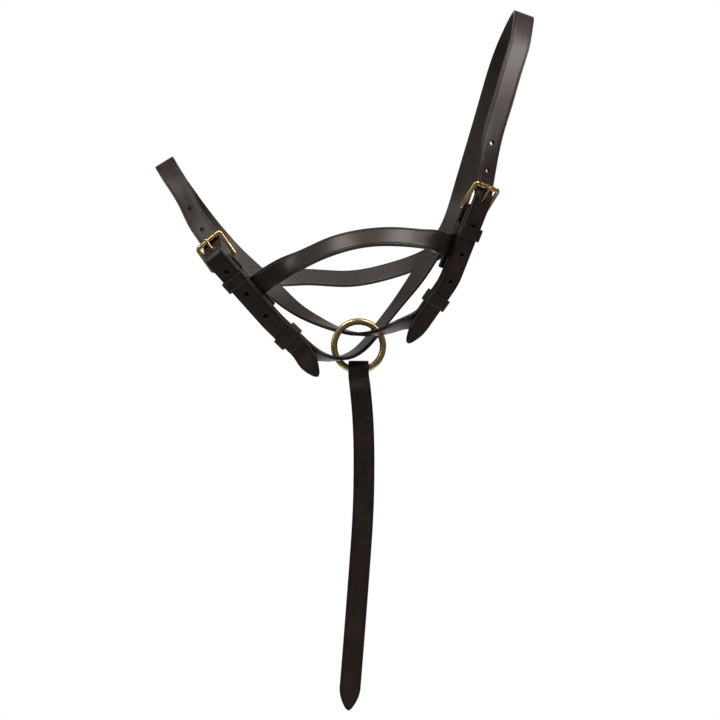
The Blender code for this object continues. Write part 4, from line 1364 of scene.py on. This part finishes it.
class FoalHalter(bpy.types.PropertyGroup):
    """All settings of the halter."""

    leather: bpy.props.PointerProperty(type=HalterLeather)
    brass: bpy.props.PointerProperty(type=HalterBrass)
    thread: bpy.props.PointerProperty(type=HalterThread)
    stage: bpy.props.PointerProperty(type=HalterStage)


def material_named(name, make, *settings):
    """A material, made the first time it is asked for."""
    return bpy.data.materials.get(name) or make(name, *settings)


def leather_look(settings):
    return material_named("creased_bridle_leather", bridle_leather, settings.leather)


def brass_look(settings):
    return material_named("polished_brass", polished_brass, settings.brass)


def thread_look(settings):
    return material_named("waxed_thread", waxed_thread, settings.thread)


def dress(piece, body, slot, *nodes):
    """Puts a piece on its body, in the place of its plain solids."""
    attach(piece, body)
    if nodes:
        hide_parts(*nodes)


def sew(name, body, stitches, settings):
    """Adds a seam's stitches to a body, as one piece."""
    dress(stitching(name, stitches, settings.thread, thread_look(settings)), body, None)


# Each long strap: where it starts, its free lengths round its seat, and where it ends
LONG_STRAPS = (
    (
        "crown_strap",
        (NOSE_BUCKLE, CROWN_STRAP_UNDER_JAW, CROWN_SEAT),
        (CROWN_STRAP_OVER_POLL, CROWN_BUCKLE, CROWN_TIP),
    ),
    (
        "nose_strap",
        (CROWN_BUCKLE, NOSE_STRAP_UNDER_JAW, NOSE_SEAT),
        (NOSE_STRAP_OVER_NOSE, NOSE_BUCKLE, NOSE_TIP),
    ),
)


class HALTER_OT_long_straps(bpy.types.Operator):
    """Build the crown strap and the nose strap with their punched holes and sewn turnbacks"""

    bl_idname = "foal_halter.long_straps"
    bl_label = "Long Straps"

    def execute(self, context):
        settings = context.scene.foal_halter
        finish = strap_finish(settings.leather, settings.leather.crease_at)
        for name, first, last in LONG_STRAPS:
            route = long_strap_route(*first, *last)
            start, end = first[0], last[1]
            tongue = route.nearest(tongue_crossing(end))
            strip = Strip(route, pointed(route), finish, tip=True, zero=tongue)
            piece = strip.build(name + "_leather", leather_look(settings))
            cut_holes(piece, route, start, end, tongue)
            dress(piece, "halter", "leather", name)
            stitches = box_seam(route, SEAM_START, SEAM_FAR, settings.thread.pitch)
            sew(name + "_turnback_thread", "halter", stitches, settings)
        return {"FINISHED"}


class HALTER_OT_cheek_straps(bpy.types.Operator):
    """Build the near and the far cheek strap, and the far one's stitched ends"""

    bl_idname = "foal_halter.cheek_straps"
    bl_label = "Cheek Straps"

    def execute(self, context):
        settings = context.scene.foal_halter
        finish = strap_finish(settings.leather, settings.leather.crease_at)
        for name, route in (
            ("near_cheek_strap", near_cheek_route()),
            ("far_cheek_strap", far_cheek_route()),
        ):
            strip = Strip(route, square_ended(route), finish)
            piece = strip.build(name + "_leather", leather_look(settings))
            dress(piece, "halter", "leather", name)
        near, far = SEAM_START, STRAP_WIDTH - SEAM_START
        pitch = settings.thread.pitch
        stitches = box_seam(route, near, far, pitch)
        stitches += box_seam(route, route.length - near, route.length - far, pitch)
        stitches += through(stitches, STRAP_THICKNESS + LAYER)
        sew("far_cheek_strap_thread", "halter", stitches, settings)
        return {"FINISHED"}


class HALTER_OT_tail_strap(bpy.types.Operator):
    """Build the handling strap that hangs from the ring, with its stitched turnback"""

    bl_idname = "foal_halter.tail_strap"
    bl_label = "Tail Strap"

    def execute(self, context):
        settings = context.scene.foal_halter
        centre = ring_centre()
        route = tail_route(centre)
        finish = strap_finish(settings.leather, settings.leather.tail_crease)
        strip = Strip(route, tail_width(route, centre), finish, tip=True)
        piece = strip.build("tail_strap_leather", leather_look(settings))
        dress(piece, "tail", "leather", "tail_strap")
        front_face = 2 * tail_fold(route, centre)
        wide = STRAP_WIDTH / 2 - TAIL_SEAM_INSET
        pitch = settings.thread.pitch
        stitches = []
        for side in (-1, 1):
            low = side * wide
            high = side * (wide - TAIL_SEAM_LEANS)
            stitches += seam_on(route, (low, TAIL_SEAM_START), (high, SEAM_FAR), pitch)
            start, end = (high, front_face - SEAM_FAR), (low, front_face - TAIL_SEAM_START)
            stitches += seam_on(route, start, end, pitch)
        sew("tail_strap_thread", "tail", stitches, settings)
        return {"FINISHED"}


class HALTER_OT_keepers(bpy.types.Operator):
    """Build the fixed and the running leather keepers below both buckles"""

    bl_idname = "foal_halter.keepers"
    bl_label = "Keepers"

    def execute(self, context):
        settings = context.scene.foal_halter
        look = material_named("creased_keeper_leather", bridle_leather, settings.leather, 0.9)
        for place, buckle in BUCKLES:
            for kind, at, body in (
                ("fixed_keeper", buckle.keeper_at, "halter"),
                ("runner_keeper", RUNNER_AT, place + "_runner"),
            ):
                name = place + "_" + kind
                piece = keeper(name + "_leather", buckle, at, settings.leather, look)
                dress(piece, body, "keeper_leather", name)
        return {"FINISHED"}


class HALTER_OT_buckles(bpy.types.Operator):
    """Build both brass buckles: frame, roller and tongue"""

    bl_idname = "foal_halter.buckles"
    bl_label = "Buckles"

    def execute(self, context):
        settings = context.scene.foal_halter
        look = brass_look(settings)
        for place, buckle in BUCKLES:
            for kind, make, body in (
                ("frame", buckle_frame, "halter"),
                ("roller", buckle_roller, place + "_roller"),
                ("tongue", buckle_tongue, place + "_tongue"),
            ):
                name = place + "_buckle_" + kind
                piece = make(name + "_brass", buckle, look)
                dress(piece, body, "brass", name)
        return {"FINISHED"}


class HALTER_OT_ring(bpy.types.Operator):
    """Build the brass ring under the jaw"""

    bl_idname = "foal_halter.ring"
    bl_label = "Jaw Ring"

    def execute(self, context):
        piece = ring("jaw_ring_brass", ring_centre(), brass_look(context.scene.foal_halter))
        dress(piece, "ring", "brass", "jaw_ring")
        return {"FINISHED"}


# The photograph's view: from the near side, level, at the halter's middle height
CAMERA_AT = (-0.1467, -1.2000, -0.3087)
SENSOR = 36.0
VIEW_WIDTH = 0.648
HALTER_MIDDLE = (-0.150, 0.0, -0.250)

# Each lamp: the way to it from the halter's middle, its width and its power in watts
LAMP_DISTANCE = 1.5
LAMPS = (
    ("left_overhead_lamp", (-0.42, -0.38, 0.82), 0.55, 8.6),
    ("right_overhead_lamp", (0.30, -0.36, 0.88), 0.45, 7.6),
    ("left_lamp", (-0.84, -0.42, 0.34), 0.60, 4.0),
    ("right_lamp", (0.66, -0.42, 0.62), 0.60, 9.4),
)
FLOOR_MIDDLE = (-0.150, 0.15)
FLOOR_WIDTH = 1.2
FLOOR_FADES = (0.28 * FLOOR_WIDTH, 0.47 * FLOOR_WIDTH)
WHITE = {"Color": (1.0, 1.0, 1.0, 1.0)}


def light_path(tree, *kinds):
    """1 where a ray is of one of the named kinds."""
    rays = tree.add("LightPath")
    found = Value(tree, rays.outputs[kinds[0]])
    for kind in kinds[1:]:
        found = found.most(Value(tree, rays.outputs[kind]))
    return found


def pale_floor(height):
    """A pale floor that shows the halter's soft shadow and fades into white towards its edge."""
    bpy.ops.mesh.primitive_plane_add(size=FLOOR_WIDTH, location=(*FLOOR_MIDDLE, height))
    floor = bpy.context.object
    floor.name = "floor"
    tree = material_tree("pale_floor")
    place = tree.place()
    away = tree.read("VectorMath", "Value", {"operation": "LENGTH"}, {0: place})
    faint = tree.noise(place, 6.0, 3.0)
    plain = tree.mix(faint, (0.84, 0.84, 0.84), (0.87, 0.87, 0.87))
    cloth = tree.add("BsdfDiffuse", None, {"Color": plain})
    white = tree.add("Emission", None, {**WHITE, "Strength": 1.0})
    seen = light_path(tree, "Is Camera Ray", "Is Glossy Ray", "Is Transmission Ray")
    share = seen * away.between(*FLOOR_FADES)
    shaders = {1: Value(tree, cloth.outputs[0]), 2: Value(tree, white.outputs[0])}
    blend = tree.add("MixShader", None, {0: share, **shaders})
    floor.data.materials.append(tree.finish(blend))


def room_light(stage):
    """White behind the halter for what the camera and the metal see, and soft light all round."""
    world = bpy.data.worlds.new("studio")
    bpy.context.scene.world = world
    tree = Tree(world)
    way = tree.add("SeparateXYZ", None, {0: tree.read("TexCoord", "Generated")})
    back = Value(tree, way.outputs["Y"]).between(0.60, 0.96)
    above = Value(tree, way.outputs["Z"]).between(-0.2, 0.9)
    camera = light_path(tree, "Is Camera Ray", "Is Transmission Ray")
    glossy = light_path(tree, "Is Glossy Ray")
    shown = stage.front + (1.0 - stage.front) * back.most(above * 0.10)
    level = stage.room * (1.0 - glossy) + glossy * shown
    level = level * (1.0 - camera) + camera
    tree.finish(tree.add("Background", None, {**WHITE, "Strength": level}), "OutputWorld")


def soft_lamp(name, way, size, power):
    data = bpy.data.lights.new(name, "AREA")
    data.shape = "DISK"
    data.size = size
    data.energy = power
    lamp = linked(name, data)
    way = Vector(way).normalized()
    lamp.location = Vector(HALTER_MIDDLE) + way * LAMP_DISTANCE
    lamp.rotation_euler = way.to_track_quat("Z", "Y").to_euler()


class HALTER_OT_stage(bpy.types.Operator):
    """Set the pale floor, the soft lamps and the camera"""

    bl_idname = "foal_halter.stage"
    bl_label = "Stage"

    def execute(self, context):
        stage = context.scene.foal_halter.stage
        low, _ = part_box("tail_strap")
        pale_floor(low.z - stage.floor_drop)
        room_light(stage)
        for name, way, size, power in LAMPS:
            soft_lamp(name, way, size, power * stage.lamp)
        data = bpy.data.cameras.new("camera")
        data.sensor_width = SENSOR
        data.lens = SENSOR * -CAMERA_AT[1] / VIEW_WIDTH
        camera = linked("camera", data)
        camera.location = CAMERA_AT
        camera.rotation_euler = (math.radians(90), 0.0, 0.0)
        context.scene.camera = camera
        context.scene.view_settings.view_transform = "Standard"
        return {"FINISHED"}


class HALTER_PT_panel(bpy.types.Panel):
    """The halter's settings and the steps that build it"""

    bl_idname = "HALTER_PT_panel"
    bl_label = "Foal Halter"
    bl_space_type = "VIEW_3D"
    bl_region_type = "UI"
    bl_category = "Foal Halter"

    def draw(self, context):
        settings = context.scene.foal_halter
        for operator in OPERATORS:
            self.layout.operator(operator.bl_idname)
        for name in ("leather", "brass", "thread", "stage"):
            group = getattr(settings, name)
            box = self.layout.box()
            box.label(text=name.capitalize())
            for key in group.__annotations__:
                box.prop(group, key)


OPERATORS = (
    HALTER_OT_long_straps,
    HALTER_OT_cheek_straps,
    HALTER_OT_tail_strap,
    HALTER_OT_keepers,
    HALTER_OT_buckles,
    HALTER_OT_ring,
    HALTER_OT_stage,
)
SETTINGS = (HalterLeather, HalterBrass, HalterThread, HalterStage, FoalHalter)
CLASSES = (*SETTINGS, *OPERATORS, HALTER_PT_panel)


def register():
    for kind in CLASSES:
        bpy.utils.register_class(kind)
    bpy.types.Scene.foal_halter = bpy.props.PointerProperty(type=FoalHalter)


def unregister():
    del bpy.types.Scene.foal_halter
    for kind in reversed(CLASSES):
        bpy.utils.unregister_class(kind)


def main():
    register()
    for operator in OPERATORS:
        group, step = operator.bl_idname.split(".")
        getattr(getattr(bpy.ops, group), step)()


if __name__ == "__main__":
    main()
